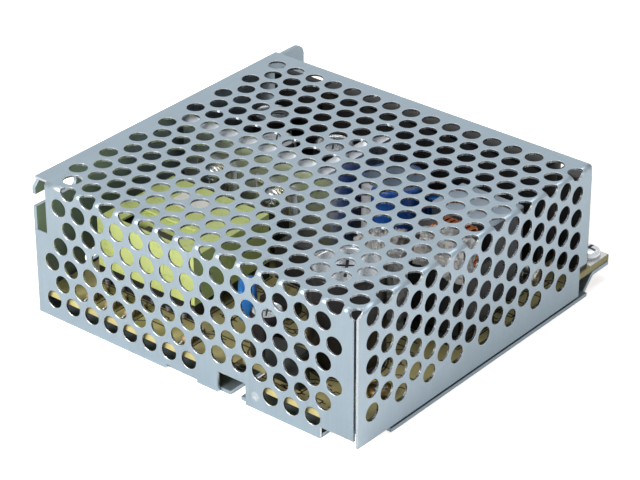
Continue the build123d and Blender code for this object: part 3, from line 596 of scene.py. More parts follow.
def outline(c):
    """The cut edge of the flat pattern, and the lines along its folds."""
    bends = [c.arc * k / c.steps for k in range(c.steps + 1)]
    floor, points = c.on_front(0), []

    def run(*spots):
        points.extend(spots)
        return range(len(points) - len(spots), len(points))

    def relief(x, y, start):
        turns = [math.radians(start - 90 * k / 6) for k in range(6)]
        run(*[(x + RELIEF * math.cos(t), y + RELIEF * math.sin(t)) for t in turns])

    run((c.left, c.back), (c.left, c.flat_front))
    front_left = run(*[(c.notch, c.flat_front - b) for b in bends])
    notch_top = c.on_front(NOTCH_TOP)
    run((c.notch, notch_top), (c.left, notch_top), (c.left, floor))
    for start, end, high in FOOT_CUTS:
        x0, x1, y = c.left + start, c.left + end, c.on_front(high)
        run((x0, floor), (x0, y), (x1, y), (x1, floor))
    x0, y = c.left + LAST_CUT, c.on_front(LAST_CUT_TOP)
    run((x0, floor), (x0, y), (c.front_end, y))
    relief(c.front_end, c.flat_front - c.arc, 270)
    front_right = run(*[(c.front_end - RELIEF, c.flat_front - b) for b in reversed(bends)])
    relief(c.flat_right, c.flat_front, 180)
    fall = [RELIEF_FALL * (k / c.steps) ** 2 for k in range(c.steps + 1)]
    side_front = run(
        *[(c.flat_right + b, c.flat_front + RELIEF - f) for b, f in zip(bends, fall)]
    )
    foot, step = c.on_side(SIDE_FOOT), c.on_side(SIDE_STEP_TOP)
    run((c.flat_right + c.arc + SIDE_START, c.front + SIDE_INSET), (foot, c.front + SIDE_INSET))
    run((foot, c.back - SIDE_STEP), (step, c.back - SIDE_STEP), (step, c.back))
    side_back = run(*[(c.flat_right + b, c.back) for b in reversed(bends)])
    folds = [*zip(front_left, reversed(front_right)), *zip(side_front, reversed(side_back))]
    return points, folds


def pressed(c, x, y):
    """How deep the press mark is at a point of the flat pattern."""
    far = math.hypot(x - c.press[0], y - c.press[1]) / PRESS_RADIUS
    return PRESS_DEPTH * math.cos(math.pi / 2 * far) ** 2 if far < 1 else 0


def folded(c, x, y, depth):
    """Where a point of the flat pattern comes to lie, so deep in the sheet."""
    on_right = x > c.flat_right + ON_LINE
    along = x - c.flat_right if on_right else c.flat_front - y
    if along <= ON_LINE:
        return x, y, c.top - depth
    reach = c.bend - depth
    if along < c.arc:
        turn = along / c.bend
        out, z = reach * math.sin(turn), c.flat_top + reach * math.cos(turn)
    else:
        out, z = reach, c.flat_top - (along - c.arc)
    if on_right:
        return c.flat_right + out, y, z
    return x, c.flat_front - out + pressed(c, x, y), z


def within(line, x, y):
    """Whether a point lies inside a closed line."""
    odd = False
    for (xa, ya), (xb, yb) in zip(line, line[-1:] + line[:-1]):
        if (ya > y) != (yb > y) and x < (xb - xa) * (y - ya) / (yb - ya) + xa:
            odd = not odd
    return odd


def hole_finder(c, holes):
    """A function that gives the centre of the hole that holds a point, or None."""
    # Squares wider than a hole, each with the holes in and beside it
    cell, near = 8.0, {}
    for x, y in holes:
        for i in (-1, 0, 1):
            for j in (-1, 0, 1):
                near.setdefault((int(x // cell) + i, int(y // cell) + j), []).append((x, y))
    wide, step = c.hole_radius + c.rim, 2 * math.pi / c.sides
    flat = wide * math.cos(math.pi / c.sides)

    def hole_at(x, y, slack):
        for spot in near.get((int(x // cell), int(y // cell)), ()):
            dx, dy = x - spot[0], y - spot[1]
            far = math.hypot(dx, dy)
            # Corners stand half a step on, so flats face whole steps
            turn = (math.atan2(dy, dx) + step / 2) % step - step / 2
            if far < wide + 1e-3 and far * math.cos(turn) < flat + slack:
                return spot
        return None

    return hole_at


def cover_mesh(c):
    """The perforated sheet: its flat pattern is meshed, folded and given its thickness."""
    holes, (points, folds) = lattice(c), outline(c)
    rim_line, wide = list(points), c.hole_radius + c.rim
    edges = [(i, (i + 1) % len(points)) for i in range(len(points))] + folds
    for x, y in holes:
        start = len(points)
        points += circle(c.sides, wide, x, y, 0.5)
        edges += [(start + k, start + (k + 1) % c.sides) for k in range(c.sides)]
    for share in PRESS_RINGS:
        points += circle(c.sides, share * PRESS_RADIUS, *c.press, 0.5)
    verts, _, faces, *_ = delaunay_2d_cdt([Vector(p) for p in points], edges, [], 0, 1e-5)

    # Triangles of metal, with their middles
    hole_at, kept = hole_finder(c, holes), {}
    for face in faces:
        x, y = [sum(verts[i][axis] for i in face) / 3 for axis in (0, 1)]
        if hole_at(x, y, -ON_LINE) is None and within(rim_line, x, y):
            kept[tuple(face)] = x, y

    uses = {}
    for face in kept:
        for a, b in zip(face, face[1:] + face[:1]):
            uses.setdefault((min(a, b), max(a, b)), []).append((a, b))
    border = [pairs[0] for pairs in uses.values() if len(pairs) == 1]
    used = sorted({i for face in kept for i in face})
    count, place = len(used), {old: new for new, old in enumerate(used)}
    centre = {i: hole_at(*verts[i], 2e-3) for i in dict.fromkeys(sum(border, ()))}

    def sunk(i, size, depth):
        x, y = verts[i]
        if centre.get(i):
            x, y = [mid + (v - mid) * (size / wide) for mid, v in zip(centre[i], (x, y))]
        return folded(c, x, y, depth)

    # Each hole's edge goes over a narrow lip before it goes down the wall
    lipped = [i for i in centre if centre[i]]
    lip_at = {i: 2 * count + k for k, i in enumerate(lipped)}
    shell = [folded(c, *verts[i], 0) for i in used]
    shell += [sunk(i, c.hole_radius + c.rim / 2, c.thickness) for i in used]
    shell += [sunk(i, c.hole_radius, c.rim) for i in lipped]
    skin, marks, soft = [], [], []
    for face, (x, y) in kept.items():
        over_right = c.flat_right < x < c.flat_right + c.arc
        over_front = c.flat_front - c.arc < y < c.flat_front and x < c.flat_right
        depth = pressed(c, x, y)
        a, b, d = (place[i] for i in face)
        skin += [(a, b, d), (count + d, count + b, count + a)]
        # The middle of the press mark has the lighter edge finish: a painted highlight where the
        # dish catches the light
        marks += [1 if depth > 0.3 * PRESS_DEPTH else 0, 0]
        soft += [over_right or over_front or depth > 0] * 2
    for a, b in border:
        ring = [(place[b], place[a]), (count + place[b], count + place[a])]
        if a in lip_at and b in lip_at:
            ring.insert(1, (lip_at[b], lip_at[a]))
        for step, ((p, q), (r, s)) in enumerate(zip(ring, ring[1:])):
            skin.append((p, q, s, r))
            marks.append(1 if step == 0 else 2)
            soft.append(False)
    out = Build()
    out.take(shell, skin, marks, soft)
    return out


class SUPPLY_OT_cover(bpy.types.Operator):
    """Builds the perforated cover with its round holes"""

    bl_idname = "supply.cover"
    bl_label = "Cover"

    def execute(self, context):
        steel = ["Zinc-plated steel, rolled", "Zinc-plated steel, sheared edge"]
        made = cover_mesh(cover_sizes(context.scene.supply_sheet))
        made.make("cover_sheet", steel + ["Steel, punched wall"], replaces=["cover"])
        return {"FINISHED"}


# Screws

# Pan head: shares of its radius and height
CROWN = ((1.0, 0.0), (1.0, 0.42), (0.93, 0.68), (0.76, 0.88), (0.45, 0.98), (0.02, 1.0))
# How much wider than the head its washer is
WASHER = 1.12


def cross_tool(tool, long, thin, low, high, matrix):
    """Adds a cross-shaped prism between two heights, placed by a matrix."""
    ends = []
    for quarter in range(4):
        turn = Matrix.Rotation(math.pi / 2 * quarter, 2)
        ends += [tuple(turn @ Vector(c)) for c in ((long, -thin), (long, thin), (thin, thin))]
    count, start = len(ends), len(tool.verts)
    faces = [tuple(range(count - 1, -1, -1)), tuple(range(count, 2 * count))]
    faces += [(k, (k + 1) % count, count + (k + 1) % count, count + k) for k in range(count)]
    tool.take([(x, y, z) for z in (low, high) for x, y in ends], faces)
    moved(tool, start, matrix)


def screws(node, finishes, radius, height, axis="Z", washer=0.0):
    """Screws along Z, or along Y with the head in front, in place of a node's solids."""
    made, tool = Build(), Build()
    profile = [(r * radius, washer + z * (height - washer)) for r, z in CROWN]
    if washer:
        wide = radius * WASHER
        under = [(wide - 0.06, 0), (wide, 0.06), (wide, washer - 0.06), (wide - 0.06, washer)]
        profile = under + profile
    if axis == "Y":
        profile = [(r, -z) for r, z in reversed(profile)]
    for low, high in islands(node):
        x, y = middle(low, high)
        centre = (x, y, high[2] - height)
        if axis == "Y":
            centre = (x, high[1], (low[2] + high[2]) / 2)
        start = len(made.faces)
        if node == "board_screws":
            turned(made, [(1.3, low[2] - high[2] + height), (1.4, 0)], centre, sides=16)
        turned(made, profile, centre, sides=28, axis=axis)
        # The screw at the mains end has the second finish
        if len(finishes) > 1 and y < 0:
            made.marks[start:] = [1] * (len(made.faces) - start)
        place = Matrix.Translation(centre)
        if axis == "Y":
            place = place @ Matrix.Rotation(math.pi / 2, 4, "X")
        cross_tool(tool, 0.62 * radius, 0.13 * radius, 0.45 * height, height + 1, place)
    carve(made.make(node + "_turned", finishes, replaces=[node]), tool)


class SUPPLY_OT_screws(bpy.types.Operator):
    """Builds the board, terminal and device screws with their cross recesses"""

    bl_idname = "supply.screws"
    bl_label = "Screws"

    def execute(self, context):
        screws("board_screws", ["Zinc-plated screw", "Zinc, yellow passivated"], 3.0, 2.0)
        screws("terminal_screws", ["Nickel-plated brass"], 2.65, 2.4, washer=0.5)
        screws("device_screws", ["Zinc-plated screw"], 2.6 / WASHER, 1.6, "Y", 0.35)
        return {"FINISHED"}


# Chassis, film and board

# A solder dome under the board: radius and height, in mm
SOLDER_DOME = ((0.25, -1.3), (0.3, -0.9), (0.5, -0.5), (0.9, -0.2), (1.25, 0.0))
# Width of a printed line, how far all print stays from the board's edge, and marks on bare places
PRINT_WIDTH, PRINT_EDGE, PRINT_MARKS = 0.38, 0.6, 102


def pin_columns():
    """The X of each of the transformer's six pin places on a rail."""
    low, high = corners("transformer_bobbin")
    return [low[0] + 3 + k * (high[0] - low[0] - 6) / 5 for k in range(6)]


def solder_side():
    """Solder domes under the board, one below each leg of the parts on it."""
    cans = ("output_capacitors", "filter_capacitor", "auxiliary_capacitor", "main_capacitor_can")
    boxes = [(0.3, box) for node in cans for box in islands(node)]
    for node in ("mains_capacitor", "film_capacitor", "bridge_rectifier", "choke_base"):
        boxes.append((0.38, corners(node)))
    spots = []
    for share, (low, high) in boxes:
        x, y = middle(low, high)
        reach = share * (high[0] - low[0])
        spots += [(x - reach, y), (x + reach, y)]
    low, high = corners("transformer_bobbin")
    for x in pin_columns():
        spots += [(x, low[1] + 2), (x, high[1] - 2)]
    spots += [middle(*box) for box in islands("terminal_plates")]
    made, under = Build(), corners("circuit_board")[0][2]
    for x, y in spots:
        turned(made, SOLDER_DOME, (x, y, under), sides=12)
    made.make("solder_joints", ["Tinned copper"], slot=SLOTS["terminal_plates"])


def board_print():
    """Printed outlines round the parts, and marks on the bare places of the board."""
    low, high = corners("circuit_board")
    top = high[2]
    ink = Build()

    def line(x0, y0, x1, y1):
        x0, x1 = [min(max(x, low[0] + PRINT_EDGE), high[0] - PRINT_EDGE) for x in (x0, x1)]
        y0, y1 = [min(max(y, low[1] + PRINT_EDGE), high[1] - PRINT_EDGE) for y in (y0, y1)]
        along = Vector((x1 - x0, y1 - y0))
        if along.length < 0.2:
            return
        across = Vector((-along.y, along.x)).normalized() * PRINT_WIDTH / 2
        verts = []
        for z in (top - 0.02, top + 0.02):
            for x, y, way in ((x0, y0, -1), (x1, y1, -1), (x1, y1, 1), (x0, y0, 1)):
                verts.append((x + way * across.x, y + way * across.y, z))
        sides = [(k, (k + 1) % 4, 4 + (k + 1) % 4, 4 + k) for k in range(4)]
        ink.take(verts, [(3, 2, 1, 0), (4, 5, 6, 7)] + sides)

    def frame_round(a, b, gap=0.5):
        x0, y0, x1, y1 = a[0] - gap, a[1] - gap, b[0] + gap, b[1] + gap
        for ends in ((x0, y0, x1, y0), (x1, y0, x1, y1), (x1, y1, x0, y1), (x0, y1, x0, y0)):
            line(*ends)

    several = ("resistors", "diodes", "optocouplers")
    for node in (
        "mains_capacitor", "film_capacitor", "bridge_rectifier", "choke_base", "resistors",
        "diodes", "controller_chip", "optocouplers", "transformer_bobbin", "fuse_caps",
        "thermistor", "varistor", "safety_capacitor",
    ):
        for box in islands(node) if node in several else [corners(node)]:
            frame_round(*box)
    cans = ("main_capacitor_sleeve", "filter_capacitor", "auxiliary_capacitor", "output_capacitors")
    for node in cans:
        for a, b in islands(node):
            dots = circle(24, (b[0] - a[0]) / 2 + 0.5, *middle(a, b))
            for here, there in zip(dots, dots[1:] + dots[:1]):
                line(*here, *there)
    # Bare places carry jumper outlines and the strip between the mains side and the output
    chance = random.Random(5)
    for index in range(PRINT_MARKS):
        x = low[0] + 4 + (high[0] - low[0] - 8) * chance.random() ** (0.8 if index % 3 else 0.15)
        y = low[1] + 2.5 + (index % 17) * (high[1] - low[1] - 18) / 17
        reach = 2.0 + 3.0 * chance.random()
        if index % 2:
            frame_round((x, y), (x + reach, y + 1.2), 0)
            line(x - 1.2, y + 0.6, x, y + 0.6)
            line(x + reach, y + 0.6, x + reach + 1.2, y + 0.6)
        else:
            line(x, y, x + reach * 0.7, y + reach * 0.5)
            line(x + reach * 0.7, y + reach * 0.5, x + reach * 1.6, y + reach * 0.5)
    ink.make("board_print", ["Board print, black"], slot=SLOTS["circuit_board"])


def board_lands():
    """Tinned lands round the screws at the output end."""
    low, high = corners("circuit_board")
    made, reach, inset, top = Build(), 4.3, 0.2, high[2]
    for x, y in [middle(*box) for box in islands("board_screws")]:
        if y > 0:
            start = max(low[0] + inset, x - reach), max(low[1] + inset, y - reach)
            end = min(high[0] - inset, x + reach), min(high[1] - inset, y + reach)
            block(made, (*start, top - 0.05), (*end, top + 0.05), 0.03, steps=1)
    made.make("board_lands", ["Tinned copper"], slot=SLOTS["terminal_plates"])


class SUPPLY_OT_chassis(bpy.types.Operator):
    """Dresses the chassis, the film on it and the circuit board, with its solder side"""

    bl_idname = "supply.chassis"
    bl_label = "Chassis and board"

    def execute(self, context):
        dress("chassis", "Zinc-plated steel, rolled", 0.12)
        dress("insulating_sheet", "Polyester film, black")
        dress("circuit_board", "Laminate board, tan", 0.08)
        solder_side()
        board_print()
        board_lands()
        return {"FINISHED"}


# Terminal row, trimmer and lamp


def hood():
    """The raised hood over the inner half of the terminal row, and the cheeks at its ends; one
    cheek is a dark block put in for shade.
    """
    low, high = corners("terminal_block")
    made = Build()
    front, back, top, wall = low[1] + 0.5, low[1] + 8.5, 33.4, 1.2
    foot, floor = high[2] - 0.4, low[2]
    walls = [
        ((low[0], front, foot), (high[0], front + wall, top)),
        ((low[0], front, top - wall), (high[0], back, top)),
        ((low[0], front, foot), (low[0] + wall, back, top)),
        ((high[0] - wall, front, foot), (high[0], back, top)),
        # A cheek stands on the board beyond each end of the row, with a slit before it. The one
        # beyond the high end is a dark block put there to darken the back of the case: painted
        # shade
        ((high[0] + 0.9, front + 4.5, floor), (high[0] + 8.9, back, top - 2.0)),
        ((low[0] - 15.0, front, floor), (low[0] - 0.25, front + 3.8, top)),
    ]
    for a, b in walls:
        block(made, a, b, 0.4, steps=3)
    made.make("terminal_hood", ["Glass-filled nylon, black"], slot=SLOTS["terminal_block"])


def rotor():
    """The trimmer's round rotor: a chamfered disc with a driver slot."""
    low, high = corners("trimmer_rotor")
    (x, y), height = middle(low, high), high[2] - low[2]
    made, tool = Build(), Build()
    disc = [(2.35, 0), (2.35, height - 0.35), (2.05, height - 0.08), (1.9, height), (0.03, height)]
    turned(made, disc, (x, y, low[2]), sides=36)
    post(tool, x, y, 1.75, 0.3, high[2] - 0.7, high[2] + 1, 0.05, 0, 1)
    node = "trimmer_rotor"
    carve(made.make(node + "_turned", ["Polyamide, white"], "trimmer", [node]), tool)


def lamp():
    """A small diode lamp: flange, straight sides and a domed tip."""
    low, high = corners("indicator_lamp")
    made, tip = Build(), high[2] - low[2]
    turns = (0, 0.35, 0.7, 1.05, 1.35, 1.55)
    dome = [(1.28 * math.cos(a), tip - 1.28 + 1.28 * math.sin(a)) for a in turns]
    profile = [(1.5, 0), (1.5, 0.8), (1.28, 0.9)] + dome
    turned(made, profile, (*middle(low, high), low[2]), sides=28)
    made.make("indicator_lamp_domed", ["Epoxy lens, green"], replaces=["indicator_lamp"])


class SUPPLY_OT_terminals(bpy.types.Operator):
    """Dresses the terminal row, and builds the trimmer's rotor and the lamp"""

    bl_idname = "supply.terminals"
    bl_label = "Terminals, trimmer and lamp"

    def execute(self, context):
        dress("terminal_block", "Glass-filled nylon, black", 0.25)
        dress("terminal_plates", "Nickel-plated brass", 0.2)
        dress("trimmer_body", "Polyamide, blue", 0.25)
        hood()
        rotor()
        lamp()
        return {"FINISHED"}


# Transformer


class SUPPLY_OT_transformer(bpy.types.Operator):
    """Dresses the transformer, and adds the lap of its tape and its pins"""

    bl_idname = "supply.transformer"
    bl_label = "Transformer"

    def execute(self, context):
        dress("transformer_bobbin", "Glass-filled nylon, black", 0.3)
        dress("transformer_core", "Ferrite, ground", 0.3)
        dress("transformer_winding", "Polyester tape, yellow", 0.3)
        dress("transformer_tape", "Polyester tape, yellow", 0.25)
        dress("transformer_label", "Paper label, white")
        (x, y, z), (_, _, top) = corners("transformer_tape")
        lap = Build()
        # The loose end of the tape lies over the side, 0.08 mm proud of it
        block(lap, (x - 0.08, y + 4.0, z + 0.7), (x + 0.1, y + 17.5, top - 0.7), 0.03)
        block(lap, (x + 6.0, y - 0.08, z + 0.6), (x + 21.0, y + 0.1, top - 0.9), 0.03)
        lap.make("transformer_tape_lap", ["Polyester tape, yellow"], slot=SLOTS["transformer_tape"])
        low, high = corners("transformer_bobbin")
        pins = Build()
        for x in pin_columns():
            for y in (low[1] - 0.35, high[1] + 0.35):
                # The wire's end is wrapped three times round each pin, outside the rail
                for turn in range(3):
                    z = low[2] + 0.6 + 0.42 * turn
                    tube(pins, [(*dot, z) for dot in circle(10, 0.62, x, y)], 0.2, 6, 0, True)
        pins.make("transformer_pin_wraps", ["Solder, dull"], slot=SLOTS["terminal_plates"])
        return {"FINISHED"}


# Capacitors

# How far the top of a can lies below its lip, in mm
SUNK_TOP = 0.38


def can_profile(radius, height):
    """A sleeved can from the board up: bead, groove, side, curled lip and sunk top."""
    dip, inner = radius - 0.05 * radius - 0.1, radius - 0.09 * radius - 0.2
    rim = radius - inner
    sleeve = [
        (radius - 0.5, 0.0), (radius - 0.1, 0.15), (radius, 0.5), (radius, 1.3), (dip, 1.8),
        (dip, 2.2), (radius, 2.7), (radius, height - 0.9), (radius - 0.12, height - 0.45),
        (radius - 0.4, height - 0.12), (radius - rim * 0.75, height), (inner, height - 0.08),
    ]
    sunk = height - SUNK_TOP
    bare = [(inner - 0.05, height - 0.3), (inner - 0.5, sunk), (0.05, sunk)]
    return sleeve + bare, [0] * (len(sleeve) - 1) + [1] * len(bare)


def capacitor(name, nodes, sleeve, stripe, top="Aluminium can, drawn"):
    """Sleeved cans for the solids of a node, each with a vent pressed into its top where the top is
    bare aluminium.
    """
    made, tool = Build(), Build()
    for low, high in islands(nodes[0]):
        x, y = middle(low, high)
        radius = (high[0] - low[0]) / 2
        profile, marks = can_profile(radius, high[2] - low[2])
        turned(made, profile, (x, y, low[2]), marks, sides=48, stripe=stripe)
        place = Matrix.Translation((x, y, high[2] - SUNK_TOP)) @ Matrix.Rotation(0.6, 4, "Z")
        cross_tool(tool, 0.58 * radius, 0.035 * radius + 0.05, -0.2, 2, place)
    can = made.make(name, [sleeve, top, "PVC sleeve, pale stripe"], replaces=nodes)
    if top.startswith("Aluminium"):
        carve(can, tool)


class SUPPLY_OT_capacitors(bpy.types.Operator):
    """Builds the sleeved electrolytic capacitors"""

    bl_idname = "supply.capacitors"
    bl_label = "Electrolytic capacitors"

    def execute(self, context):
        main = ["main_capacitor_sleeve", "main_capacitor_can"]
        blue, dark, disc = "PVC sleeve, blue", "PVC sleeve, dark", "Insulating disc, slate"
        capacitor("main_capacitor", main, dark, (20, 26))
        capacitor("filter_capacitor_sleeved", ["filter_capacitor"], blue, (30, 35), disc)
        capacitor("auxiliary_capacitor_sleeved", ["auxiliary_capacitor"], dark, (8, 14))
        capacitor("output_capacitors_sleeved", ["output_capacitors"], dark, (2, 8))
        return {"FINISHED"}


def dipped_disc(node, radius, thickness, facing, finish):
    """A dipped disc with a rounded edge, upright on two wire leads."""
    low, high = corners(node)
    x, y = middle(low, high)
    rise = high[2] - radius - low[2]
    made, crown = Build(), thickness / 2
    # The faces are a little crowned where the dip ran off
    face = [(0.05, -crown), (radius * 0.6, -crown * 0.97), (radius * 0.9, -crown * 0.86)]
    edge = [
        (radius * (0.955 + 0.045 * math.cos(a)), crown * 0.72 * math.sin(a))
        for a in (-1.2, -0.7, -0.25, 0.25, 0.7, 1.2)
    ]
    turned(made, face + edge + [(r, -z) for r, z in reversed(face)], (0, 0, 0), sides=48)
    turn = math.radians(facing)
    upright = Matrix.Rotation(turn, 4, "Z") @ Matrix.Rotation(math.pi / 2, 4, "Y")
    moved(made, 0, Matrix.Translation((x, y, high[2] - radius)) @ upright)
    lead = bpy.context.scene.supply_wire.lead / MM / 2
    # Resin runs a little way down each lead
    skirt = [(lead + 0.02, 0), (lead + 0.15, 0.5), (lead + 0.4, 1.1), (lead + 0.9, 1.8)]
    up = Vector((0, 0, 1))
    for side in (-1, 1):
        across = Vector((-math.sin(turn), math.cos(turn), 0)) * side
        foot = Vector((x, y, low[2])) + across * radius / 2
        bow = up * rise * 0.55 + across * 0.25
        tube(made, [foot, foot + bow * 0.4, foot + bow, foot + up * rise], lead, 10, 1)
        turned(made, skirt, foot + up * (rise - radius * 0.87 - 1.3), sides=14)
    made.make(node + "_dipped", [finish, "Tinned copper"], replaces=[node])


class SUPPLY_OT_discs(bpy.types.Operator):
    """Builds the dipped discs: safety capacitor, thermistor and varistor"""

    bl_idname = "supply.discs"
    bl_label = "Dipped discs"

    def execute(self, context):
        dipped_disc("safety_capacitor", 5.3, 4.5, 40, "Epoxy dip, blue")
        dipped_disc("thermistor", 5.0, 4.0, 90, "Epoxy dip, dark")
        dipped_disc("varistor", 5.5, 4.0, 90, "Epoxy dip, blue")
        return {"FINISHED"}


# Boxed and moulded parts


def boxed_capacitor(node, finishes, slot=None):
    """A filled box with rounded edges on four small feet."""
    low, high = corners(node)
    made, inset, foot_x, foot_y, edge = Build(), 0.4, 1.4, 1.0, 0.45
    block(made, (low[0], low[1], low[2] + 0.5), high, edge, steps=3)
    # Its top has the last finish; for the mains capacitor that is the lit copy, so the top carries
    # painted light and the sides painted shade
    for k, face in enumerate(made.faces):
        if min(made.verts[i][2] for i in face) > high[2] - edge - 0.01:
            made.marks[k] = len(finishes) - 1
    for x in (low[0] + inset, high[0] - inset - foot_x):
        for y in (low[1] + inset, high[1] - inset - foot_y):
            block(made, (x, y, low[2]), (x + foot_x, y + foot_y, low[2] + 1.0), 0.1)
    made.make(node + "_boxed", finishes, replaces=[node], slot=slot)


def moulded(node, rows, pitch):
    """Moulded packages with drafted sides, a turning mark and bent legs along two sides."""
    made = Build()
    for low, high in islands(node):
        a = (low[0], low[1] + 0.6, low[2] + 0.6)
        b = (high[0], high[1] - 0.6, high[2])
        waist = (a[2] + b[2]) / 2
        # Two halves taper away from the parting line
        verts, draft = [], 0.18
        for z, d in ((a[2], draft), (waist - 0.05, 0), (waist + 0.05, 0), (b[2], draft)):
            x0, y0, x1, y1 = a[0] + d, a[1] + d, b[0] - d, b[1] - d
            verts += [(x0, y0, z), (x1, y0, z), (x1, y1, z), (x0, y1, z)]
        *sides, floor, roof = between_rings(4, 4, False)
        made.take(verts, [floor, roof] + sides)
        mark = (a[0] + 0.9, a[1] + 0.9, b[2])
        turned(made, [(0.45, -0.3), (0.45, 0.015), (0.35, 0.02)], mark, sides=16)
        for k in range(rows):
            x = middle(low, high)[0] + (k - (rows - 1) / 2) * pitch
            for side, inner, out in ((-1, a[1], low[1]), (1, b[1], high[1])):
                # A leg comes out flat, then goes down narrower
                y0, y1 = sorted((inner - side * 0.3, out))
                block(made, (x - 0.5, y0, waist - 0.15), (x + 0.5, y1, waist + 0.15), 0.05, 1, 1)
                y0, y1 = sorted((out - side * 0.3, out))
                block(made, (x - 0.3, y0, low[2]), (x + 0.3, y1, waist + 0.1), 0.05, 1, 1)
    made.make(node + "_moulded", ["Epoxy moulding, black", "Tinned copper"], replaces=[node])


def shouldered_leg(build, x, y, floor, shoulder, top, half_y, soften, mark):
    """Adds a flat leg that is wider above its shoulder."""
    post(build, x, y, 0.65, half_y, shoulder, top, soften, mark)
    post(build, x, y, 0.4, half_y, floor, shoulder + 0.2, 0.08, mark)


def bridge():
    """The bridge rectifier: a flat package with one cut corner on four legs."""
    low, high = corners("bridge_rectifier")
    bottom, cut = low[2] + 3.4, 2.4
    face = [(low[0], bottom), (high[0], bottom), (high[0], high[2])]
    face += [(low[0] + cut, high[2]), (low[0], high[2] - cut)]
    shell = bmesh.new()
    near, far = [[shell.verts.new((x, y, z)) for x, z in face] for y in (low[1], high[1])]
    shell.faces.new(near)
    shell.faces.new(list(reversed(far)))
    for i in range(len(face)):
        j = (i + 1) % len(face)
        shell.faces.new((near[j], near[i], far[i], far[j]))
    bmesh.ops.recalc_face_normals(shell, faces=shell.faces)
    edges = list(shell.edges)
    bmesh.ops.bevel(shell, geom=edges, offset=0.35, segments=2, profile=0.5, affect="EDGES")
    made = Build()
    made.take_shape(shell)
    y = middle(low, high)[1]
    for k in range(4):
        x = low[0] + 1.9 + k * (high[0] - low[0] - 3.8) / 3
        shouldered_leg(made, x, y, low[2], bottom - 1.2, bottom + 0.4, 0.35, 0.1, 1)
    finishes = ["Epoxy moulding, black", "Tinned copper"]
    made.make("bridge_rectifier_moulded", finishes, replaces=["bridge_rectifier"])


class SUPPLY_OT_packages(bpy.types.Operator):
    """Builds the boxed capacitors, the bridge rectifier, the couplers and the controller"""

    bl_idname = "supply.packages"
    bl_label = "Boxed and moulded parts"

    def execute(self, context):
        # The mains capacitor's sides carry painted shade and its top painted light
        boxed_capacitor("mains_capacitor", ["Polyester box, dark", "Polyester box, pale"])
        boxed_capacitor("film_capacitor", ["Epoxy dip, dark"], "dark_resin")
        moulded("optocouplers", 2, 2.54)
        moulded("controller_chip", 4, 2.3)
        bridge()
        return {"FINISHED"}


# Resistors, diodes and the fuse

# A resistor: radius in mm, share of the length, and the finish up to the next entry
RESISTOR = (
    (0.6, 0.0, 0, 0), (1.0, 0.05, 0, 0), (1.3, 0.1, 0, 0), (1.3, 0.15, 0, 2),
    (1.3, 0.22, 0, 0), (1.1, 0.3, 0, 0), (1.1, 0.36, 0, 3), (1.1, 0.43, 0, 0),
    (1.1, 0.5, 0, 2), (1.1, 0.57, 0, 0), (1.1, 0.64, 0, 0), (1.1, 0.7, 0, 0),
    (1.3, 0.78, 0, 4), (1.3, 0.85, 0, 0), (1.3, 0.9, 0, 0), (1.0, 0.95, 0, 0), (0.6, 1.0, 0, 0),
)
# A diode: the same, with mm that are added to the share of the length in the third place
DIODE = (
    (1.1, 0, 0, 0), (1.5, 0, 0.3, 0), (1.6, 0, 0.5, 0), (1.6, 1, -1.6, 2),
    (1.6, 1, -0.7, 0), (1.6, 1, -0.5, 0), (1.5, 1, -0.3, 0), (1.1, 1, 0, 0),
)
# A fuse cap from its end: radius and length
FUSE_CAP = (
    (2.3, 0.0), (2.75, 0.15), (2.9, 0.5), (2.9, 4.6), (2.8, 4.8), (2.9, 5.0), (2.42, 5.0)
)


def axial(node, finishes, lift, shape):
    """Banded parts along Y whose two leads turn down into the board."""
    made, marks = Build(), [entry[3] for entry in shape[:-1]]
    lead = bpy.context.scene.supply_wire.lead / MM / 2
    for low, high in islands(node):
        x, y = middle(low, high)
        z, half = low[2] + lift, (high[1] - low[1]) / 2
        profile = [(r, share * 2 * half - half + more) for r, share, more, _ in shape]
        turned(made, profile, (x, y, z), marks, sides=24, axis="Y")
        for side in (-1, 1):
            path = [(-0.4, 0), (0.5, 0)]
            for turn in [math.pi / 2 * k / 4 for k in range(1, 5)]:
                path.append((0.5 + 0.6 * math.sin(turn), 0.6 * (1 - math.cos(turn))))
            path.append((1.1, z - low[2]))
            tube(made, [(x, y + side * (half + out), z - drop) for out, drop in path], lead, 10, 1)
    made.make(node + "_banded", finishes, replaces=[node])


def fuse():
    """The glass fuse: a cap on each end in its clip, the tube and the sagging wire."""
    low, high = corners("fuse_caps")
    y, z = middle(low, high)[1], low[2] + 2.9
    caps, glass, wire = Build(), Build(), Build()
    for end, way in ((low[0], 1), (high[0], -1)):
        profile = [(r, way * h) for r, h in FUSE_CAP][::way]
        turned(caps, profile, (end, y, z), sides=36, axis="X")
        for k in (1.0, 3.2):
            # Clip fingers grip the cap from both sides
            ends = sorted((end + way * k, end + way * (k + 1.6)))
            for side in (-1, 1):
                edge = sorted((y + side * 2.75, y + side * 2.9))
                corner = (ends[1], edge[1], z + 1.6)
                block(caps, (ends[0], edge[0], low[2]), corner, 0.05, steps=1)
    caps.make("fuse_caps_turned", ["Nickel-plated brass"], replaces=["fuse_caps"])
    low, high = corners("fuse_tube")
    span = high[0] - low[0]
    turned(glass, [(2.38, 0.0), (2.38, span)], (low[0], y, z), sides=36, axis="X")
    glass.make("fuse_glass", ["Glass tube"], replaces=["fuse_tube"])
    sag = [(low[0] + span * t, y, z + 0.9 - 1.8 * t) for t in (0, 0.25, 0.5, 0.75, 1)]
    tube(wire, sag, 0.12, 8)
    wire.make("fuse_wire", ["Tinned copper"], slot=SLOTS["terminal_plates"])


class SUPPLY_OT_axial(bpy.types.Operator):
    """Builds the resistors with colour bands, the diodes and the glass fuse"""

    bl_idname = "supply.axial"
    bl_label = "Resistors, diodes and fuse"

    def execute(self, context):
        inks = ["Band ink, brown", "Band ink, black", "Band ink, gold"]
        axial("resistors", ["Lacquer, beige", "Tinned copper"] + inks, 1.3, RESISTOR)
        finishes = ["Epoxy moulding, black", "Tinned copper", "Band ink, silver"]
        axial("diodes", finishes, 1.6, DIODE)
        fuse()
        return {"FINISHED"}


# Power devices on the heat sink


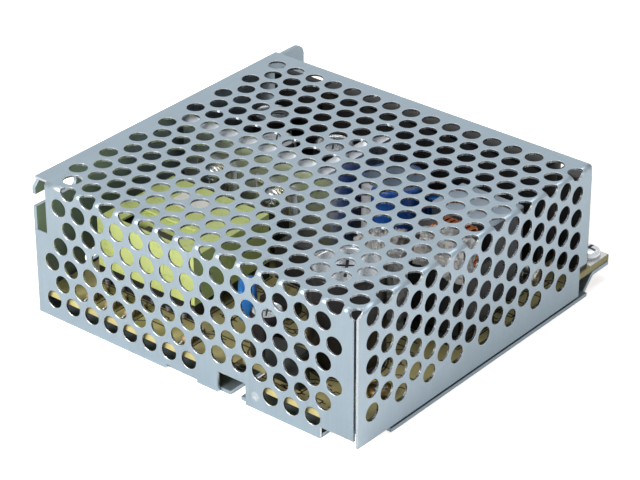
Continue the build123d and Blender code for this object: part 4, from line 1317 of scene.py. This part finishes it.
def power_device(node):
    """A tabbed device against the heat sink: tab, body, turning mark and three legs."""
    low, high = corners(node)
    tab, bottom = high[1] - 1.3, low[2] + 3.2
    x, leg_y = middle(low, high)[0], low[1] + 0.45 * 4.5
    made = Build()
    block(made, (low[0], tab, bottom + 0.3), high, 0.12, 1)
    corner = (high[0] - 0.05, tab + 0.4, bottom + 9.2)
    block(made, (low[0] + 0.05, low[1], bottom), corner, 0.3)
    turned(made, [(1.0, -0.02), (1.0, 0.3)], (x, low[1], bottom + 4.6), sides=24, axis="Y")
    for k in (-1, 0, 1):
        place = x + k * 2.54
        shouldered_leg(made, place, leg_y, low[2], bottom - 1.4, bottom + 0.2, 0.25, 0.08, 2)
    finishes = ["Epoxy moulding, black", "Nickel-plated brass", "Tinned copper"]
    made.make(node + "_moulded", finishes, replaces=[node])


class SUPPLY_OT_power(bpy.types.Operator):
    """Dresses the heat sink and pads, and builds the two power devices"""

    bl_idname = "supply.power"
    bl_label = "Heat sink and devices"

    def execute(self, context):
        dress("heat_sink", "Aluminium, mill finish", 0.3)
        dress("insulating_pads", "Silicone pad, grey")
        power_device("power_transistor")
        power_device("output_rectifier")
        return {"FINISHED"}


# Chokes


def smoothed(path, steps=5):
    """A path with its corners rounded by a curve through its points."""
    points = [Vector(p) for p in path]
    ends = [points[0]] + points + [points[-1]]
    out = []
    for a, b, c, d in zip(ends, ends[1:], ends[2:], ends[3:]):
        bend, twist = 2 * a - 5 * b + 4 * c - d, 3 * b - a - 3 * c + d
        for t in [k / steps for k in range(steps)]:
            out.append(0.5 * (2 * b + (c - a) * t + bend * t * t + twist * t ** 3))
    return out + [points[-1]]


def rounded_loop(half_x, half_y, corner):
    """Points round a rounded rectangle about the origin, counter-clockwise."""
    points = []
    for quarter, (sx, sy) in enumerate(((1, 1), (-1, 1), (-1, -1), (1, -1))):
        for turn in [math.pi / 2 * (quarter + k / 4) for k in range(5)]:
            x = sx * (half_x - corner) + corner * math.cos(turn)
            points.append((x, sy * (half_y - corner) + corner * math.sin(turn)))
    return points


def mains_choke(wire):
    """Two coils side by side, with lead-out wires over the core, in an open cup."""
    low, high = corners("choke_coils")
    x, y = middle(low, high)
    half_x, half_y = (x - 0.05 - low[0]) / 2, (high[1] - low[1]) / 2
    coils, cup, wall = Build(), Build(), 0.9
    reach_x, reach_y = half_x - wall * 0.6, half_y - wall
    loop = rounded_loop(reach_x - wire / 2, reach_y - wire / 2, 2.0)
    height = high[2] - low[2] - wire
    count = int(height / (wire * 1.04))
    for side in (-1, 1):
        centre, inset = x + side * (half_x + 0.05), wire * 0.7
        ends = low[2] + 0.1, high[2] - 0.1
        post(coils, centre, y, reach_x - inset, reach_y - inset, *ends, 1.2, 0, 3)
        path = []
        for turn in range(count):
            for k, (a, b) in enumerate(loop):
                z = low[2] + wire / 2 + height / count * (turn + k / len(loop))
                path.append((centre + a, y + b, z))
        tube(coils, path, wire / 2, 8)
    # Lead-out wires cross the top of the core
    core_low, core_high = corners("choke_core")
    gap = wire * 0.55
    front, back, top = core_low[1] - gap, core_high[1] + gap, core_high[2] + gap
    for place in [x - 2.6 + k * 1.45 for k in range(6)]:
        over = [
            (place, front, high[2] - 1.0),
            (place, front, core_high[2] - 0.6),
            (place + 0.1, core_low[1] + 0.3, top),
            (place + 0.3, y, top + 0.25),
            (place + 0.5, core_high[1] - 0.3, top),
            (place + 0.6, back, core_high[2] - 0.6),
            (place + 0.6, back, high[2] - 1.0),
        ]
        tube(coils, smoothed(over), wire * 0.48, 8)
    coils.make("choke_coils_wound", ["Enamelled copper wire"], replaces=["choke_coils"])

    # The cup holds both coils up to just below their last turns
    a, b = (low[0], low[1], corners("choke_base")[1][2]), (high[0], high[1], high[2] - 2.2)
    for start, end in (
        (a, (b[0], a[1] + wall, b[2])),
        ((a[0], b[1] - wall, a[2]), b),
        (a, (a[0] + wall, b[1], b[2])),
        ((b[0] - wall, a[1], a[2]), b),
    ):
        block(cup, start, end, 0.25)
    cup.make("choke_cup", ["Glass-filled nylon, black"], slot=SLOTS["choke_base"])


def ring_choke(wire):
    """The output choke: a coated ring lying flat, with one layer of turns."""
    low, high = corners("output_choke_core")
    x, y = middle(low, high)
    centre, half, mean = (low[2] + high[2]) / 2, (high[2] - low[2]) / 2, 4.7
    ring, wound = Build(), Build()
    section = [(mean + a, b) for a, b in rounded_loop(1.3, half, 0.6)]
    turned(ring, section, (x, y, centre), sides=48, closed=True)
    ring.make("output_choke_ring", ["Epoxy coating, yellow"], replaces=["output_choke_core"])

    turns, dots, first, span = 12, 24, math.radians(35), math.radians(290)
    path = []
    for share in [k / (turns * dots) for k in range(turns * dots + 1)]:
        angle, wrap = first + span * share, 2 * math.pi * turns * share
        # A power below one squares the turn off round the ring's section
        c, s = [math.copysign(abs(v) ** 0.55, v) for v in (math.cos(wrap), math.sin(wrap))]
        reach = mean + (1.3 + wire * 0.55) * c
        z = centre + (2.5 + wire * 0.55) * s
        path.append((x + reach * math.cos(angle), y + reach * math.sin(angle), z))
    tube(wound, path, wire / 2, 10)
    floor = corners("output_choke_winding")[0][2]
    for end in (path[0], path[-1]):
        drop = [(*end[:2], z) for z in (end[2], (end[2] + floor) / 2, floor)]
        tube(wound, drop, wire / 2, 10)
    replaced = ["output_choke_winding"]
    wound.make("output_choke_turns", ["Enamelled copper wire"], replaces=replaced)


class SUPPLY_OT_chokes(bpy.types.Operator):
    """Builds the mains choke's coils and the ring choke with its turns"""

    bl_idname = "supply.chokes"
    bl_label = "Chokes"

    def execute(self, context):
        dress("choke_base", "Glass-filled nylon, black", 0.3)
        dress("choke_core", "Ferrite, ground", 0.35)
        mains_choke(context.scene.supply_wire.choke_wire / MM)
        ring_choke(context.scene.supply_wire.ring_wire / MM)
        return {"FINISHED"}


# Silicone that holds the tall parts


def lump(build, low, high, seed, rough):
    """Adds an uneven soft lump that fills a box and lies flat on its floor."""
    shape = bmesh.new()
    bmesh.ops.create_icosphere(shape, subdivisions=5, radius=1)
    size = [(b - a) / 2 for a, b in zip(low, high)]
    centre = [(a + b) / 2 for a, b in zip(low, high)]
    for v in shape.verts:
        way = v.co.normalized()
        swell = 1 + rough * noise.noise(way * 1.9 + Vector((seed, 0, 0)))
        swell += 0.4 * rough * noise.noise(way * 4.5 + Vector((0, seed, 0)))
        # Folds where the skin shrank
        swell -= 0.55 * rough * abs(noise.noise(way * 6.5 + Vector((0, 0, seed))))
        spread = [math.copysign(abs(c) ** 0.75, c) * swell for c in way]
        spot = [c + 1.05 * s * d for c, s, d in zip(centre, size, spread)]
        v.co = Vector([min(max(p, a), b) for p, a, b in zip(spot, low, high)])
    build.take_shape(shape, 0, True)


class SUPPLY_OT_silicone(bpy.types.Operator):
    """Builds the lumps of silicone beside the tall parts"""

    bl_idname = "supply.silicone"
    bl_label = "Silicone"

    def execute(self, context):
        (x, y, z), (right, back, _) = corners("silicone_glue")
        made = Build()
        # Masses from the board up between the two cans and the choke
        lump(made, (x - 5.0, y, z), (x + 1.2, back + 0.9, z + 20.5), 3, 0.3)
        lump(made, (x - 9.0, back - 1.0, z), (x - 2.0, back + 9.5, z + 21.5), 11, 0.4)
        lump(made, (x - 16.0, back - 1.0, z), (x - 7.5, back + 9.5, z + 19.5), 19, 0.45)
        # A run over the front edge and the top of the choke
        end = (right + 3.2, back + 7.4, z + 26.6)
        lump(made, (x + 3.0, back - 1.4, z + 16.3), end, 7, 0.4)
        made.make("silicone_lumps", ["Silicone sealant, clouded"], replaces=["silicone_glue"])
        return {"FINISHED"}


# Stage. Lengths are metres here

LIGHTS_AIM = (0, 0, 0.015)
CAMERA_PLACE = (0.34034, -0.41616, 0.31883)
CAMERA_LOOKS = (-0.5538, 0.6717, -0.4920)
CAMERA_ROLL = math.radians(-0.112)
LENS_MM, SENSOR_MM = 145.97, 36
# How strongly the floor glows and shows in reflections, and how bright the room lights things
FLOOR_GLOW, FLOOR_REFLECTED, ROOM_LIGHT = 0.72, 0.7, 0.22


def seen_directly(tree, reflected=1.0):
    """One where the camera or a look through glass sees the surface, less in reflections."""
    path = add(tree, "ShaderNodeLightPath").outputs
    mirror = maths(tree, "MULTIPLY", path["Is Glossy Ray"], reflected)
    both = maths(tree, "MAXIMUM", path["Is Camera Ray"], mirror)
    return maths(tree, "MAXIMUM", both, path["Is Transmission Ray"])


def area_lamp(name, place, size, power, tint=(1, 1, 1)):
    """A square lamp that points at the supply."""
    data = bpy.data.lights.new(name, "AREA")
    data.color = tint
    data.size = size
    data.energy = power
    made = bpy.data.objects.new(name, data)
    made.location = place
    made.rotation_euler = (Vector(LIGHTS_AIM) - Vector(place)).to_track_quat("-Z", "Y").to_euler()
    bpy.context.scene.collection.objects.link(made)


class SUPPLY_OT_stage(bpy.types.Operator):
    """Sets the floor, the soft studio light and the camera"""

    bl_idname = "supply.stage"
    bl_label = "Stage"

    def execute(self, context):
        scene = context.scene
        mesh = bpy.data.meshes.new("floor")
        mesh.from_pydata([(-3, -3, 0), (3, -3, 0), (3, 3, 0), (-3, 3, 0)], [], [(0, 1, 2, 3)])
        floor = bpy.data.objects.new("floor", mesh)
        scene.collection.objects.link(floor)
        # Matt white paint that also glows, so the ground is as white as a studio sweep
        painted, tree = new_material("Studio floor, matt paint")
        tone = tuple(scene.supply_colours.floor) + (1,)
        matt = add(tree, "ShaderNodeBsdfDiffuse", {"Color": tone, "Roughness": 1.0}).outputs[0]
        glow = maths(tree, "MULTIPLY", seen_directly(tree, FLOOR_REFLECTED), FLOOR_GLOW)
        shine = {"Color": (1, 0.955, 0.92, 1), "Strength": glow}
        shine = add(tree, "ShaderNodeEmission", shine).outputs[0]
        finish_with(tree, add(tree, "ShaderNodeAddShader", {0: matt, 1: shine}))
        mesh.materials.append(painted)

        world = bpy.data.worlds.new("studio")
        scene.world = world
        world.use_nodes = True
        tree = world.node_tree
        tree.nodes.clear()
        level = mapped(tree, seen_directly(tree), 0, 1, ROOM_LIGHT, 1.0)
        sky = add(tree, "ShaderNodeBackground", {"Color": (1, 1, 1, 1), "Strength": level})
        add(tree, "ShaderNodeOutputWorld", {"Surface": sky.outputs[0]})

        area_lamp("key", (-0.15, -0.7, 0.36), 0.5, 11.0, (1, 0.945, 0.89))
        area_lamp("top", (-0.1, 0.25, 0.9), 0.6, 3.0)

        data = bpy.data.cameras.new("camera")
        data.sensor_width = SENSOR_MM
        data.lens = LENS_MM
        data.clip_start = 0.01
        camera = bpy.data.objects.new("camera", data)
        forward = Vector(CAMERA_LOOKS).normalized()
        right = forward.cross(Vector((0, 0, 1))).normalized()
        side = right * math.cos(CAMERA_ROLL) + right.cross(forward) * math.sin(CAMERA_ROLL)
        turn = Matrix((side, side.cross(forward), -forward)).transposed()
        camera.matrix_world = Matrix.Translation(CAMERA_PLACE) @ turn.to_4x4()
        scene.collection.objects.link(camera)
        scene.camera = camera
        scene.view_settings.view_transform = "Standard"
        return {"FINISHED"}


# Panel and start


OPERATORS = (
    SUPPLY_OT_chassis,
    SUPPLY_OT_cover,
    SUPPLY_OT_screws,
    SUPPLY_OT_terminals,
    SUPPLY_OT_transformer,
    SUPPLY_OT_capacitors,
    SUPPLY_OT_discs,
    SUPPLY_OT_packages,
    SUPPLY_OT_axial,
    SUPPLY_OT_power,
    SUPPLY_OT_chokes,
    SUPPLY_OT_silicone,
    SUPPLY_OT_stage,
)
GROUPS = {
    "supply_sheet": SupplySheet,
    "supply_wire": SupplyWire,
    "supply_colours": SupplyColours,
}


class SUPPLY_PT_panel(bpy.types.Panel):
    """Lists the sizes, the colours and the steps that build the supply"""

    bl_idname = "SUPPLY_PT_panel"
    bl_label = "Mesh case supply"
    bl_space_type = "VIEW_3D"
    bl_region_type = "UI"
    bl_category = "Supply"

    def draw(self, context):
        column = self.layout.column()
        for attribute, kind in GROUPS.items():
            group = getattr(context.scene, attribute)
            for key in kind.__annotations__:
                column.prop(group, key)
        for operator in OPERATORS:
            column.operator(operator.bl_idname)


def register():
    """Adds the groups, the operators and the panel to Blender."""
    for kind in (*GROUPS.values(), *OPERATORS, SUPPLY_PT_panel):
        bpy.utils.register_class(kind)
    for attribute, kind in GROUPS.items():
        setattr(bpy.types.Scene, attribute, bpy.props.PointerProperty(type=kind))


def unregister():
    """Takes out all that register adds."""
    for attribute in GROUPS:
        delattr(bpy.types.Scene, attribute)
    for kind in reversed((*GROUPS.values(), *OPERATORS, SUPPLY_PT_panel)):
        bpy.utils.unregister_class(kind)


def main():
    """Builds every group in order."""
    register()
    bpy.ops.supply.chassis()
    bpy.ops.supply.cover()
    bpy.ops.supply.screws()
    bpy.ops.supply.terminals()
    bpy.ops.supply.transformer()
    bpy.ops.supply.capacitors()
    bpy.ops.supply.discs()
    bpy.ops.supply.packages()
    bpy.ops.supply.axial()
    bpy.ops.supply.power()
    bpy.ops.supply.chokes()
    bpy.ops.supply.silicone()
    bpy.ops.supply.stage()
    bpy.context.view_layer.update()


if __name__ == "__main__":
    main()
